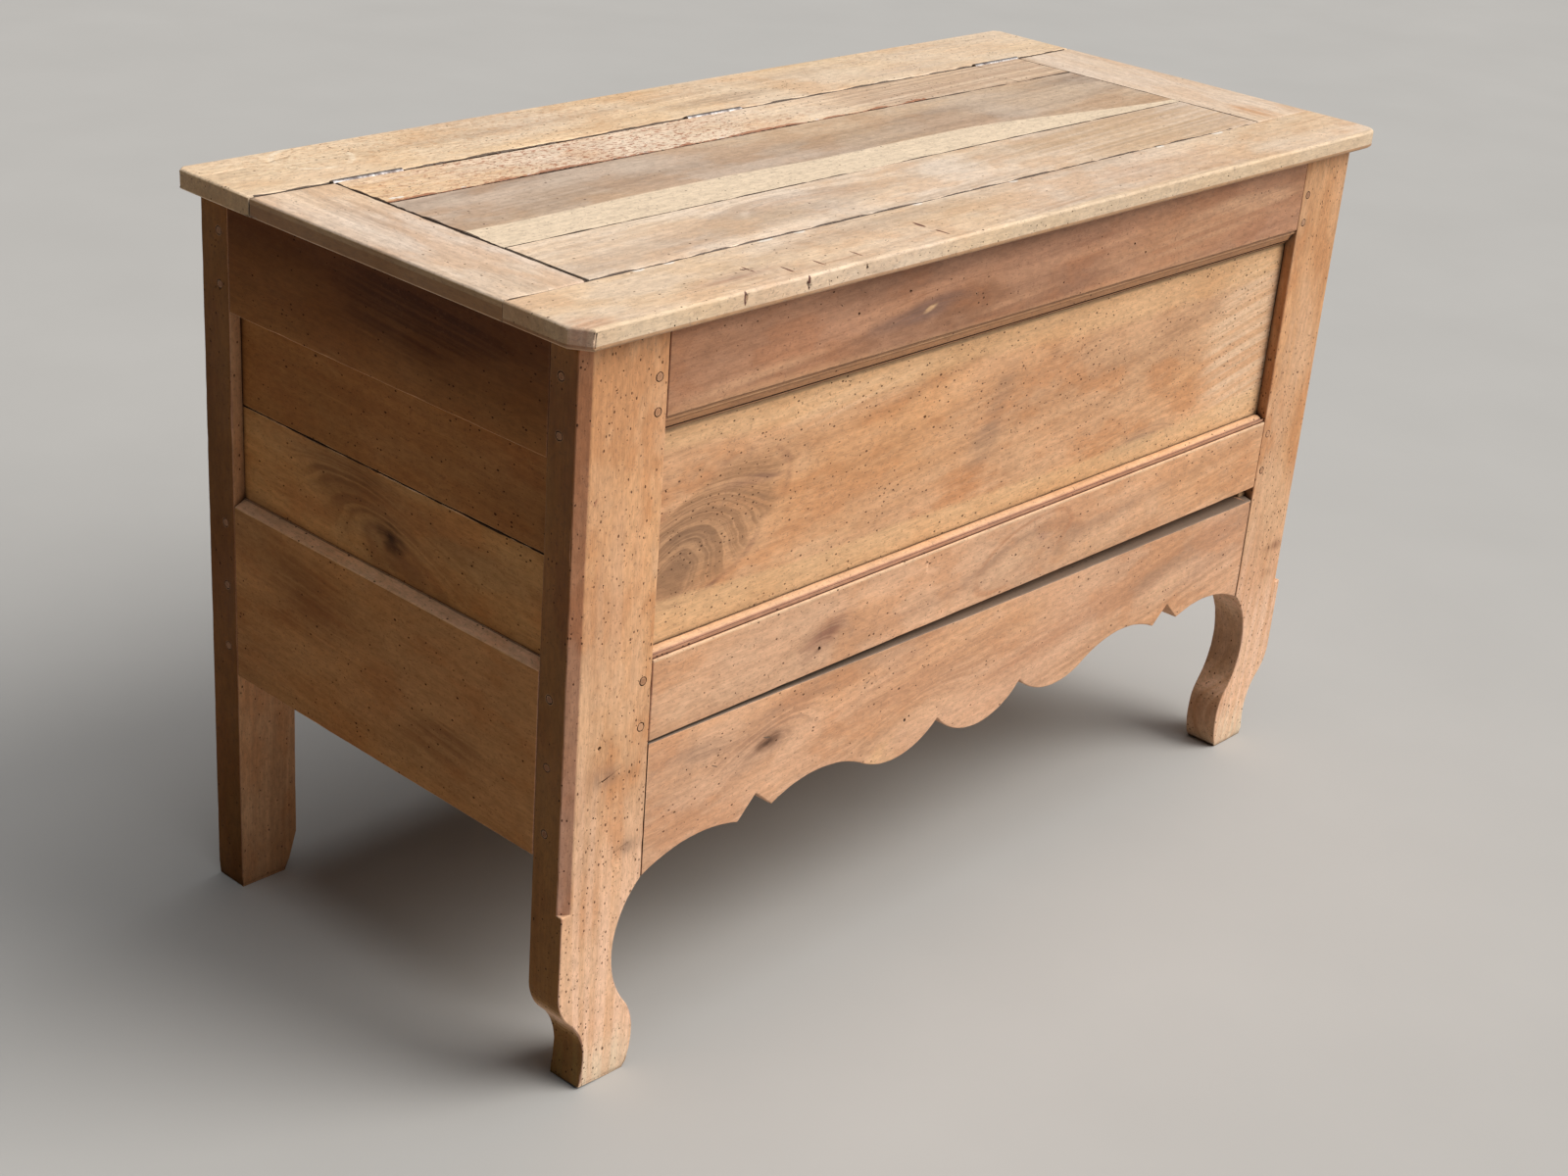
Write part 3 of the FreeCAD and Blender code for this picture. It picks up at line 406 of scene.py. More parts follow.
        geometry = self.add("NewGeometry", {}).outputs
        # Painted shade: faces looking left or right are multiplied by `shade`, and faces leaning
        # that way by HALF_SHADED, as far as `shaded` says
        facing = self.split(geometry["True Normal"])
        sideways = self.math("ABSOLUTE", facing[0])
        leaning = self.times(self.mask(sideways, 0.2, 0.5), shaded)
        upright = self.mask(self.math("ABSOLUTE", facing[2]), 0.5, 0.2)
        colour = self.mix(self.times(leaning, upright), colour, HALF_SHADED, "MULTIPLY")
        sideways = self.times(self.mask(sideways, 0.78, 0.97), shaded)
        colour = self.mix(sideways, colour, shade, "MULTIPLY")
        near = self.add("AmbientOcclusion", {"Distance": 0.010}, samples=6).outputs["AO"]
        colour = self.worn_edges(colour, geometry["Normal"], near, edges)
        # Painted shade in hollows, joints and under overhangs, from occlusion
        colour = self.shade_hollows(colour, near, hollow_shade)
        # Upward faces greyed by weathering, in a grey darkened as painted shade of a gap under a
        # rail
        if weathered_shaded_top:
            upward = self.times(self.mask(facing[2], 0.35, 0.7), weathered_shaded_top)
            colour = self.mix(upward, colour, WEATHERED_AND_SHADE)

        height = self.times_add(holes, -1.0, self.times(pores, -0.14))
        height = self.times_add(fibres, 0.14, height)
        height = self.times_add(mottle, 0.22, height)
        height = self.times_add(cloud, 0.6, height)
        height = self.times_add(lines, 0.12, height)
        bump = self.add("Bump", {"Height": height, "Strength": 0.55, "Distance": 0.0008})
        gloss = self.mask(cloud, 0.3, 0.7, roughness + 0.07, roughness - 0.06)
        gloss = self.times_add(holes, 0.3, gloss)
        self.finish(colour, gloss, bump.outputs[0], Specular_IOR_Level=shine)
        return self

    def worm_holes(self, amount):
        """Beetle holes: many fine ones, drawn out along the grain, and a few larger ones."""
        holes = None
        cluster = self.streaks(6.0, 11.0, detail=1.0)
        for along, across, radius, share in ((140.0, 215.0, 0.19, 0.22),
                                             (46.0, 66.0, 0.075, 0.20)):
            cells = self.cells(self.stretched(along, across))
            lot = self.split(cells["Color"])
            size = self.times_add(lot[0], radius * 0.9, radius * 0.4)
            dot = self.math("LESS_THAN", cells["Distance"], size)
            share = self.mask(cluster, 0.3, 0.7, share * amount * 0.2, share * amount * 2.0)
            spot = self.times(dot, self.math("LESS_THAN", lot[1], share))
            holes = spot if holes is None else self.math("MAXIMUM", holes, spot)
        return holes

    def shade_hollows(self, colour, near, amount):
        """Painted shade where close and wider occlusion say shade falls: in corners, quirks and
        open joints, and under overhangs; near is the close occlusion.
        """
        far = self.add("AmbientOcclusion", {"Distance": 0.05}, samples=6).outputs["AO"]
        hollow_shade = self.math("ADD", self.mask(near, 0.82, 0.25, 0.0, 0.9),
                         self.mask(far, 0.7, 0.2, 0.0, 0.2))
        return self.mix(self.times(hollow_shade, amount), colour, GRIME_AND_SHADE)

    def worn_edges(self, colour, true, near, amount):
        """Open arrises rubbed paler than the faces."""
        soft = self.add("Bevel", {"Radius": 0.0025}, samples=4).outputs[0]
        turn = self.math("SUBTRACT", 1.0, self.vector("DOT_PRODUCT", soft, true))
        patchy = self.noise(self.vector("MULTIPLY", self.seeded, (30.0, 30.0, 30.0)))[0]
        edge = self.times(self.mask(turn, 0.01, 0.12), self.mask(patchy, 0.3, 0.7))
        edge = self.times(edge, self.mask(near, 0.86, 0.97))
        return self.mix(self.times(edge, amount), colour, WORN_EDGE)


# ---- worn boards
def solid_tree():
    """Every CAD solid at rest, to tell an exposed arris from one inside a joint."""
    points, faces = [], []
    for item in nodes.values():
        start = len(points)
        points += [vertex.co.copy() for vertex in item.data.vertices]
        faces += [[start + index for index in face.vertices] for face in item.data.polygons]
    return BVHTree.FromPolygons(points, faces)


solids = solid_tree()


def exposed(edge):
    outward = (edge.link_faces[0].normal + edge.link_faces[1].normal).normalized()
    start = (edge.verts[0].co + edge.verts[1].co) / 2 + outward * EXPOSED_START
    return solids.ray_cast(start, outward, EXPOSED_REACH)[0] is None


def in_joint(edge):
    """Whether another piece lies close beside an edge."""
    centre = (edge.verts[0].co + edge.verts[1].co) / 2
    first, second = edge.link_faces[0].normal, edge.link_faces[1].normal
    for out, other in ((first, second), (second, first)):
        inward = (out * out.dot(other) - other).normalized()
        start = centre + inward * JOINT_INSET + out * EXPOSED_START
        if solids.ray_cast(start, out, JOINT_REACH)[0] is not None:
            return True
    return False


def worn_arrises(mesh, width, free_width):
    """Rounds the long exposed outside corners: free ones more than those at joints."""
    for joint, angle, offset in ((False, SHARP_ANGLE, free_width), (True, JOINT_ANGLE, width)):
        chosen = []
        for edge in mesh.edges:
            if not edge.is_manifold or edge.calc_length() < SHORTEST_WORN_EDGE:
                continue
            if edge.calc_face_angle_signed() > angle and exposed(edge):
                if in_joint(edge) == joint:
                    chosen.append(edge)
        bmesh.ops.bevel(mesh, geom=chosen, offset=offset, offset_type="OFFSET", segments=3,
                        profile=0.55, affect="EDGES", clamp_overlap=False)
        mesh.normal_update()


def close_notches(mesh, node):
    """Takes out the hairline recesses that clear the hinge knuckles in the end boards."""
    if not node.endswith("end_board"):
        return
    low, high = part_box(node)
    for vertex in mesh.verts:
        for edge in (low.x, high.x):
            if abs(vertex.co.x - edge) < NOTCH_DEPTH and abs(vertex.co.x) < NOTCH_WITHIN:
                vertex.co.x = edge
    bmesh.ops.remove_doubles(mesh, verts=mesh.verts, dist=1e-5)


def slice_board(mesh, axis, step):
    """Cuts across the mesh at even steps, so that it can bend and take nicks."""
    values = [vertex.co[axis] for vertex in mesh.verts]
    low, high = min(values), max(values)
    count = max(1, round((high - low) / step))
    normal = Vector((0, 0, 0))
    normal[axis] = 1.0
    for number in range(1, count):
        point = Vector((0, 0, 0))
        point[axis] = low + (high - low) * (number + 0.13) / count
        bmesh.ops.bisect_plane(mesh, geom=mesh.verts[:] + mesh.edges[:] + mesh.faces[:],
                               dist=1e-6, plane_co=point, plane_no=normal)


def on_arris(vertex):
    return any(face.normal.dot(vertex.normal) < 0.985 for face in vertex.link_faces)


def age_surface(mesh, seed):
    """Planing waves on the faces and small dents along the arrises."""
    mesh.normal_update()
    shift = Vector((seed * 1.3, seed * 2.1, seed * 0.7))
    moves = []
    for vertex in mesh.verts:
        offset = noise.noise(vertex.co * 9.0 + shift) * PLANING_WAVE
        if on_arris(vertex):
            bite = noise.noise(vertex.co * 55.0 + shift) + 0.5 * noise.noise(vertex.co * 140.0)
            offset -= max(0.0, bite) * ARRIS_DENT
        moves.append((vertex, vertex.normal * offset))
    for vertex, move in moves:
        vertex.co += move


def worn_board(wood, width=EDGE_ROUND, free_width=0.0018, step=0.014, across=0.04, shape=None,
               cuts=None):
    """A visible board that stands for its CAD node, with worn arrises and uneven faces."""
    node = wood.node
    seed = random.random() * 50
    mesh = bmesh.new()
    mesh.from_mesh(nodes[node].data)
    bmesh.ops.remove_doubles(mesh, verts=mesh.verts, dist=1e-5)
    close_notches(mesh, node)
    bmesh.ops.dissolve_limit(mesh, angle_limit=FLAT_ANGLE, verts=mesh.verts, edges=mesh.edges)
    mesh.normal_update()
    worn_arrises(mesh, width, free_width)
    low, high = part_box(node)
    size = high - low
    longest = max(range(3), key=lambda axis: size[axis])
    for axis in range(3):
        if axis == longest:
            slice_board(mesh, axis, step)
        elif size[axis] > 2 * across:
            slice_board(mesh, axis, across)
    age_surface(mesh, seed)
    if shape:
        shape(mesh)
    data = bpy.data.meshes.new(node + "_worn")
    mesh.to_mesh(data)
    mesh.free()
    if cuts:
        data = carved(data, cuts)
    place_piece(data, wood.material, node)


def place_piece(data, material, node):
    """Links a piece that stands for a CAD node and rides on the same body."""
    data.materials.clear()
    data.materials.append(material)
    data.shade_smooth()
    data.set_sharp_from_angle(angle=SMOOTH_ANGLE)
    piece = bpy.data.objects.new(node + "_worn", data)
    bpy.context.scene.collection.objects.link(piece)
    weighted = piece.modifiers.new("weighted", "WEIGHTED_NORMAL")
    weighted.keep_sharp = True
    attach(piece, nodes[node]["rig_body"])
    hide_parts(node)


def dress(node, material):
    """Gives a CAD node that stays its material."""
    data = nodes[node].data
    data.materials.clear()
    data.materials.append(material)


# ---- faces of boards: the axis across the face, its place there and the way out
FRONT_OUT = (0, -1, 0)
SIDE_OUT = (-1, 0, 0)
UP = (0, 0, 1)
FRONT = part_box("front_left_post")[0].y
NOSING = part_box("lid_front_rail")[0].y
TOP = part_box("lid_front_rail")[1].z
FRONT_FACE = (1, FRONT, FRONT_OUT)
PANEL_FACE = (1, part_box("front_panel")[0].y, FRONT_OUT)
NOSING_FACE = (1, NOSING, FRONT_OUT)
TOP_FACE = (2, TOP, UP)


def on(face, point):
    """A point of the frame from its two places on a face; a full point stays as it is."""
    if len(point) == 3:
        return point
    whole = list(point)
    whole.insert(face[0], face[1])
    return tuple(whole)


# ---- scratches, cracks and beetle bores cut into the boards
CUT_LIFT = 0.0006
BORE_DEPTH = 0.003
BORE_RADII = (0.0006, 0.0012)
NICK_DEPTH = 0.0010


def scratch(start, end, half_width, depth, out):
    """A closed boat shape that cuts a tapered groove; out is the way out of the board."""
    start, end, out = Vector(start), Vector(end), Vector(out)
    side = (end - start).cross(out).normalized() * half_width
    points = [start + out * CUT_LIFT, end + out * CUT_LIFT]
    for share in (0.25, 0.7):
        centre = start.lerp(end, share)
        lean = side * random.uniform(-0.7, 0.7)
        points += [centre + side + lean + out * CUT_LIFT, centre - side + lean + out * CUT_LIFT,
                   centre + lean - out * depth]
    faces = [(0, 3, 6, 1, 5, 2), (0, 2, 4), (0, 4, 3), (2, 5, 7, 4), (3, 4, 7, 6), (5, 1, 7),
             (6, 7, 1)]
    return points, faces


def quirk(start, end, width, depth, out):
    """A closed prism that cuts an even groove of V section."""
    start, end, out = Vector(start), Vector(end), Vector(out)
    side = (end - start).cross(out).normalized() * width / 2
    points = []
    for place in (start, end):
        points += [place + side + out * CUT_LIFT, place - side + out * CUT_LIFT,
                   place - out * depth]
    return points, [(0, 2, 1), (3, 4, 5), (0, 1, 4, 3), (1, 2, 5, 4), (2, 0, 3, 5)]


def bore(point, radius, depth, out, sides=7):
    """A closed tapering pit with an uneven rim."""
    point, out = Vector(point), Vector(out)
    right = out.orthogonal().normalized()
    up = out.cross(right)
    points = []
    for height, taper in ((CUT_LIFT, 1.0), (-depth, 0.6)):
        for number in range(sides):
            angle = 2 * math.pi * number / sides
            reach = radius * taper * random.uniform(0.8, 1.2)
            points.append(point + out * height
                          + (right * math.cos(angle) + up * math.sin(angle)) * reach)
    faces = [tuple(range(sides)), tuple(range(2 * sides - 1, sides - 1, -1))]
    for number in range(sides):
        after = (number + 1) % sides
        faces.append((number, sides + number, sides + after, after))
    return points, faces


def scratches(face, rows):
    """Scratches on a face: start, end (two places each), half width and depth."""
    return [scratch(on(face, row[:2]), on(face, row[2:4]), *row[4:], face[2]) for row in rows]


def bores(face, rows):
    """Bores on a face: two places, radius and depth."""
    return [bore(on(face, row[:2]), *row[2:], face[2]) for row in rows]


def random_point(face, low, high):
    """A point between two corners on a face."""
    low, high = on(face, low), on(face, high)
    return [random.uniform(low[axis], high[axis]) for axis in range(3)]


def scattered_bores(face, low, high, count):
    made = []
    for _ in range(count):
        point = random_point(face, low, high)
        made.append(bore(point, random.uniform(*BORE_RADII), BORE_DEPTH, face[2]))
    return made


def nicks(face, low, high, count, longest=0.008):
    """Small knocks and scores at random places and angles between two corners."""
    out = Vector(face[2])
    right = out.orthogonal().normalized()
    up = out.cross(right)
    made = []
    for _ in range(count):
        point = Vector(random_point(face, low, high))
        angle = random.uniform(0, math.pi)
        way = (right * math.cos(angle) + up * math.sin(angle)) * random.uniform(0.002, longest)
        half_width = random.uniform(0.0005, 0.0010)
        made.append(scratch(point, point + way, half_width, NICK_DEPTH, out))
    return made


def joined_mesh(name, shapes):
    points, faces = [], []
    for shape_points, shape_faces in shapes:
        start = len(points)
        points += [tuple(point) for point in shape_points]
        faces += [tuple(start + index for index in face) for face in shape_faces]
    data = bpy.data.meshes.new(name)
    data.from_pydata(points, [], faces)
    mesh = bmesh.new()
    mesh.from_mesh(data)
    bmesh.ops.recalc_face_normals(mesh, faces=mesh.faces)
    mesh.to_mesh(data)
    mesh.free()
    return data


def carved(data, cuts):
    """The mesh with closed cutters taken out of it."""
    board = bpy.data.objects.new("board", data)
    cutter = bpy.data.objects.new("cutter", joined_mesh("cutter", cuts))
    for item in (board, cutter):
        bpy.context.scene.collection.objects.link(item)
    modifier = board.modifiers.new("cuts", "BOOLEAN")
    modifier.operation = "DIFFERENCE"
    modifier.solver = "EXACT"
    modifier.object = cutter
    modifier.use_self = True
    evaluated = board.evaluated_get(bpy.context.evaluated_depsgraph_get())
    result = bpy.data.meshes.new_from_object(evaluated)
    for item in (board, cutter):
        bpy.data.objects.remove(item)
    return result


# ---- shapes that wear gives to single boards
REAR_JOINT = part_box("top_back_plank")[0].y
PLANK_JOINTS = (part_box("lid_middle_plank")[1].y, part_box("lid_front_plank")[1].y)
RAIL_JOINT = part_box("lid_front_rail")[1].y
END_JOINTS = (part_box("lid_left_end_board")[1].x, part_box("lid_right_end_board")[0].x)
TOP_RAIL_MOULDING = 0.735
RAIL_HALF = 0.545


def ramp(value, start, length):
    """How far a value has come along a length from a start, between 0 and 1."""
    return min(1.0, max(0.0, (value - start) / length))


def crumbled_edge(mesh):
    """The rear plank's broken front corner, and its hollow rear corner between the hinges."""
    front = PLANK_JOINTS[0]
    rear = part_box("lid_rear_plank")[1].y
    skin = front_reach = 0.006
    rear_reach = 0.004
    broken_end, broken_fade = 0.25, 0.08
    hollow_start, hollow_length, hollow_depth = -0.57, 0.5, 0.0028
    bite, sink, rear_bite = 0.0085, 0.0012, 0.0008
    for vertex in mesh.verts:
        if vertex.co.z < TOP - skin:
            continue
        rough = noise.noise(vertex.co * 160.0) + 0.6 * noise.noise(vertex.co * 420.0)
        spread = 1 - ramp(vertex.co.x, broken_end, broken_fade)
        if abs(vertex.co.y - front) < front_reach:
            vertex.co.y += max(-0.2, rough) * bite * spread
            vertex.co.z -= max(0.0, rough) * sink * spread
        elif vertex.co.y > rear - rear_reach:
            hollow = math.sin(ramp(vertex.co.x, hollow_start, hollow_length) * math.pi)
            vertex.co.y -= hollow_depth * hollow + max(0.0, rough) * rear_bite


def worn_drawer_top(mesh):
    """The drawer front's upper arris, rubbed down more and more to the right."""
    lowest, skin, front_reach = 0.37, 0.004, 0.008
    slot = 0.02
    wear_start, wear_length = -0.45, 0.5
    tops = {}
    upper = [vertex for vertex in mesh.verts if vertex.co.z > lowest]
    for vertex in upper:
        place = round(vertex.co.x / slot)
        tops[place] = max(tops.get(place, 0.0), vertex.co.z)
    for vertex in upper:
        if vertex.co.z > tops[round(vertex.co.x / slot)] - skin:
            share = ramp(vertex.co.x, wear_start, wear_length)
            drop = 0.0002 + 0.0030 * share
            if vertex.co.y < FRONT + front_reach:
                drop += 0.0010 + 0.0026 * share + 0.0008 * noise.noise(vertex.co * 14.0)
            vertex.co.z -= drop


def rounder_corner(mesh):
    """The lid's right front corner, rounded further than it was first cut."""
    low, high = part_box("lid_front_rail")
    first, worn = 0.014, 0.026
    for vertex in mesh.verts:
        across, down = vertex.co.x - high.x + worn, vertex.co.y - low.y - worn
        if across <= 0 or down >= 0:
            continue
        cut_x, cut_y = vertex.co.x - high.x + first, vertex.co.y - low.y - first
        inset = min(high.x - vertex.co.x, vertex.co.y - low.y)
        if cut_x > 0 and cut_y < 0:
            inset = first - math.hypot(cut_x, cut_y)
        reach = math.hypot(across, down)
        if reach > worn - inset > 0:
            vertex.co.x += across * ((worn - inset) / reach - 1)
            vertex.co.y += down * ((worn - inset) / reach - 1)


def worn_sole(mesh):
    """Feet worn ragged where they meet the floor; the left front toe has lost a corner."""
    toe_height, toe_start, toe_length, toe_reach, toe_lift = 0.010, -0.60, 0.04, 0.02, 0.006
    ragged_height, off_floor = 0.006, 0.0005
    for vertex in mesh.verts:
        at_toe = vertex.co.x < toe_start and vertex.co.y < FRONT + toe_reach
        if vertex.co.z < toe_height and at_toe:
            vertex.co.z += toe_lift * min(1.0, (toe_start - vertex.co.x) / toe_length)
        if vertex.co.z < ragged_height:
            rough = noise.noise(vertex.co * 130.0 + Vector((3.0, 7.0, 1.0)))
            flat = Vector((vertex.normal.x, vertex.normal.y, 0))
            vertex.co -= flat * (0.0012 + 0.0022 * max(0.0, rough + 0.2))
            if vertex.co.z > off_floor:
                vertex.co.z += 0.003 * max(0.0, rough)


def rail_quirk(height, inset, width, depth):
    """A V groove along a front rail, inset from the rail's face."""
    start, end = [(x, FRONT + inset, height) for x in (-RAIL_HALF, RAIL_HALF)]
    return quirk(start, end, width, depth, FRONT_OUT)


def open_joint(low, high):
    """The widened joint between the planks and the left end board."""
    place = END_JOINTS[0] + 0.0010
    width, depth = 0.0060, 0.007
    return quirk((place, low, TOP), (place, high, TOP), width, depth, UP)


# ---- case
random.seed(7)

for number, (side, way) in enumerate((("left", -1), ("right", 1))):
    name = f"front_{side}_post"
    low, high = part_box(name)
    post = Wood(name, "z", POST, FRONT_FACE, seed=1.0 + number, wave=0.01,
                pith=(0.12 * way, 0.1), slope=(0.02, 0.03))
    post.paint([
        (0.6 * way, 0.1, 0.26, 1.2, (246, 203, 172), 0.85),
        (0.62 * way, 0.74, 0.1, 2.0, (206, 152, 108), 0.5),
        (0.6 * way, 0.55, 0.05, 3.0, (222, 176, 140), 0.6),
        (0.6 * way, 0.0, 0.09, 0.9, (236, 212, 182), 0.9)])
    if side == "left":
        post.paint([
            (-0.595, 0.369, 0.02, 2.0, GREY_BROWN, 0.55, 1.35),
            (-0.572, 0.278, 0.016, 2.0, GREY_BROWN, 0.6, 1.5)])
        cuts = scratches(FRONT_FACE, [
            (-0.62, 0.362, -0.57, 0.375, 0.0012, 0.001),
            (-0.59, 0.276, -0.558, 0.282, 0.0014, 0.001),
            (-0.634, 0.664, -0.629, 0.676, 0.002, 0.001)])
        cuts += bores(FRONT_FACE, [(-0.612, 0.405, 0.0028, 0.004)])
    else:
        post.paint([
            (0.6, 0.27, 0.05, 1.5, ORANGE, 0.45),
            (0.617, 0.285, 0.04, 0.35, (136, 88, 62), 0.8),
            (0.612, 0.247, 0.022, 0.5, (160, 108, 78), 0.6)])
        cuts = scratches(FRONT_FACE, [(0.58, 0.3, 0.6, 0.31, 0.0015, 0.001)])
    area = (FRONT_FACE, (low.x + 0.03, 0.2), (high.x - 0.03, 0.8))
    cuts += scattered_bores(*area, 44) + nicks(*area, 20) + nicks(*area, 34, longest=0.0045)
    worn_board(post.build(worms=1.9, heart=0.12, contrast=0.3, blush=0.65, shade=DEEP_SHADED,
                          shaded=1.0 if side == "left" else 0.4, shine=0.2),
               shape=worn_sole, cuts=cuts)
    post = Wood(f"rear_{side}_post", "z", SIDE, seed=3.0 + number, wave=0.012)
    worn_board(post.build(worms=0.5, heart=0.3, shade=DEEP_SHADED, shine=0.1), shape=worn_sole)

rail = Wood("front_top_rail", "x", TOP_RAIL, FRONT_FACE, seed=5.0, wave=0.008, pith=(0.09, 0.05),
            slope=(0.04, 0.03))
rail.swirl((-0.17, 0.772), 0.035, 5.0, lift=0.5, tilt=-0.12)
rail.paint([
    (-0.2, 0.768, 0.016, 7.0, (130, 100, 88), 0.8, -0.12),
    (-0.167, 0.772, 0.0035, 4.0, CREAM, 0.8, -0.3)])
rail.band(-0.06, -0.034, (206, 156, 116), 0.7, drift=-0.006, soft=0.006)
cuts = scratches(FRONT_FACE, [(-0.178, 0.769, -0.158, 0.774, 0.003, 0.0012)])
cuts += bores(FRONT_FACE, [
    (-0.202, 0.795, 0.0019, 0.003),
    (-0.28, 0.786, 0.0019, 0.003),
    (0.192, 0.778, 0.0019, 0.003),
    (0.216, 0.764, 0.0019, 0.003)])
rail.paint([
    (0.3, 0.765, 0.04, 6.0, (204, 156, 120), 0.8, -0.06),
    (0.05, 0.8, 0.02, 9.0, (160, 112, 86), 0.5),
    (-0.42, 0.752, 0.01, 14.0, (214, 166, 128), 0.7, -0.05),
    (0.12, 0.788, 0.01, 16.0, (210, 160, 124), 0.7, -0.04),
    (0.42, 0.792, 0.014, 10.0, (216, 170, 134), 0.7),
    (-0.48, 0.79, 0.02, 5.0, (158, 110, 80), 0.5),
    (-0.02, 0.752, 0.012, 9.0, (204, 154, 118), 0.6, -0.03)])
rail.stripe(0.7, TOP_RAIL_MOULDING, (184, 132, 90), 0.8)
# Painted shadow: dark lines along the two quirks under the moulding
rail.stripe(0.732, 0.735, GRIME_AND_SHADE, 0.35)
rail.stripe(0.719, 0.7212, GRIME_AND_SHADE, 0.4)
cuts += [rail_quirk(0.7328, 0.0028, 0.0036, 0.0026), rail_quirk(0.7203, 0.0078, 0.003, 0.0028)]
area = (FRONT_FACE, (-0.5, 0.742), (0.5, 0.81))
cuts += scattered_bores(*area, 14) + nicks(*area, 14)
worn_board(rail.build(worms=0.25, heart=0.5, contrast=0.6), width=0.0009, cuts=cuts)

rail = Wood("front_middle_rail", "x", MIDDLE_RAIL, FRONT_FACE, seed=6.0, wave=0.016,
            pith=(0.12, -0.05), slope=(0.09, 0.05))
rail.swirl((-0.3, 0.418), 0.04, 3.0, lift=0.7, tilt=-0.3)
rail.patch((-0.29, 0.422), 0.02, 3.0, (146, 100, 80), 0.85, tilt=-0.45)
rail.patch((-0.298, 0.414), 0.0035, 3.0, HOLE_DARK, 0.7, tilt=-0.6, exact=True)
rail.swirl((0.06, 0.44), 0.04, 3.5, lift=0.8, tilt=-0.2)
rail.paint([
    (0.04, 0.436, 0.022, 3.0, (226, 184, 148), 0.7, -0.3),
    (0.085, 0.445, 0.008, 2.0, (150, 108, 98), 0.6)])
rail.rim((0.05, 0.436), 0.03, 3.0, 0.003, (186, 128, 90), 0.5, tilt=-0.25)
rail.patch((0.45, 0.44), 0.06, 2.0, ORANGE, 0.3)
# Painted light on the lower moulding: a pale highlight along its upward step, and painted shade in
# the cove above it
rail.stripe(0.477, 0.48, (240, 204, 166), 0.6)
rail.stripe(0.48, 0.4845, (184, 130, 104), 0.75)
rail.stripe(0.4845, 0.49, (230, 184, 138), 0.4)
cuts = scratches(FRONT_FACE, [
    (-0.13, 0.474, -0.12, 0.466, 0.0014, 0.001),
    (-0.132, 0.467, -0.122, 0.47, 0.0012, 0.001),
    (-0.128, 0.428, -0.118, 0.416, 0.0014, 0.001)])
cuts += bores(FRONT_FACE, [(-0.296, 0.416, 0.0026, 0.004)])
cuts.append(rail_quirk(0.4822, 0.0036, 0.0036, 0.0016))
area = (FRONT_FACE, (-0.52, 0.395), (0.52, 0.47))
cuts += scattered_bores(*area, 26) + nicks(*area, 20)
worn_board(rail.build(worms=0.6, heart=0.4, contrast=0.55), width=0.0009, cuts=cuts)

panel = Wood("front_panel", "x", PANEL, PANEL_FACE, seed=7.0, wave=0.03, pith=(0.3, 0.03),
             slope=(0.12, 0.05))
panel.swirl((-0.5, 0.572), 0.085, 1.9, lift=1.0, tilt=-0.55, figure=0.06)
panel.swirl((0.25, 0.522), 0.04, 4.5, lift=0.8, tilt=-0.1)
panel.paint([
    (-0.46, 0.59, 0.062, 2.0, (172, 128, 92), 0.95, -0.5, 0.72),
    (-0.495, 0.572, 0.048, 1.7, (146, 110, 82), 0.8, -0.5)])
panel.rim((-0.46, 0.59), 0.06, 2.0, 0.005, (146, 100, 76), 0.7, tilt=-0.5)
panel.paint([
    (-0.4, 0.632, 0.012, 6.0, (150, 110, 90), 0.8, 0.08),
    (-0.25, 0.695, 0.035, 6.0, (238, 194, 154), 0.8, -0.03),
    (-0.3, 0.54, 0.03, 4.0, (234, 188, 144), 0.6, -0.2),
    (-0.02, 0.64, 0.05, 3.0, (204, 146, 100), 0.6, -0.3),
    (0.1, 0.6, 0.05, 3.0, (200, 144, 100), 0.5, 0.2),
    (-0.02, 0.605, 0.03, 3.2, GREY_BROWN, 0.5, -1.05),
    (0.09, 0.672, 0.014, 2.0, (150, 100, 70), 0.6, -1.2),
    (-0.06, 0.546, 0.035, 2.2, ORANGE, 0.75),
    (0.27, 0.52, 0.018, 6.0, GREY_BROWN, 0.55, -0.08),
    (-0.2, 0.6, 0.09, 2.0, (206, 148, 100), 0.5),
    (0.5, 0.6, 0.15, 0.9, (240, 202, 166), 0.9, 0.0, 0.5)])
# Painted shadow cast by the top rail's moulding on the panel: a soft brown band, and a narrow dark
# one close under the moulding
panel.stripe(0.702, 0.73, (190, 138, 94), 0.4, soft=0.005)
panel.stripe(0.711, 0.73, (64, 36, 22), 0.9, soft=0.0014)
panel.band(-0.13, -0.08, CREAM, 0.55, soft=0.004)
panel.band(0.082, 0.13, CREAM, 0.45, drift=-0.02, soft=0.008)
area = (PANEL_FACE, (-0.54, 0.492), (0.54, 0.712))
cuts = scattered_bores(*area, 110) + nicks(*area, 24)
cuts += bores(PANEL_FACE, [(-0.138, 0.638, 0.0024, 0.003)])
cuts += scratches(PANEL_FACE, [(-0.065, 0.54, -0.05, 0.546, 0.0016, 0.001)])
worn_board(panel.build(worms=1.5, heart=0.15, contrast=0.4, blush=0.5), step=0.03, cuts=cuts)

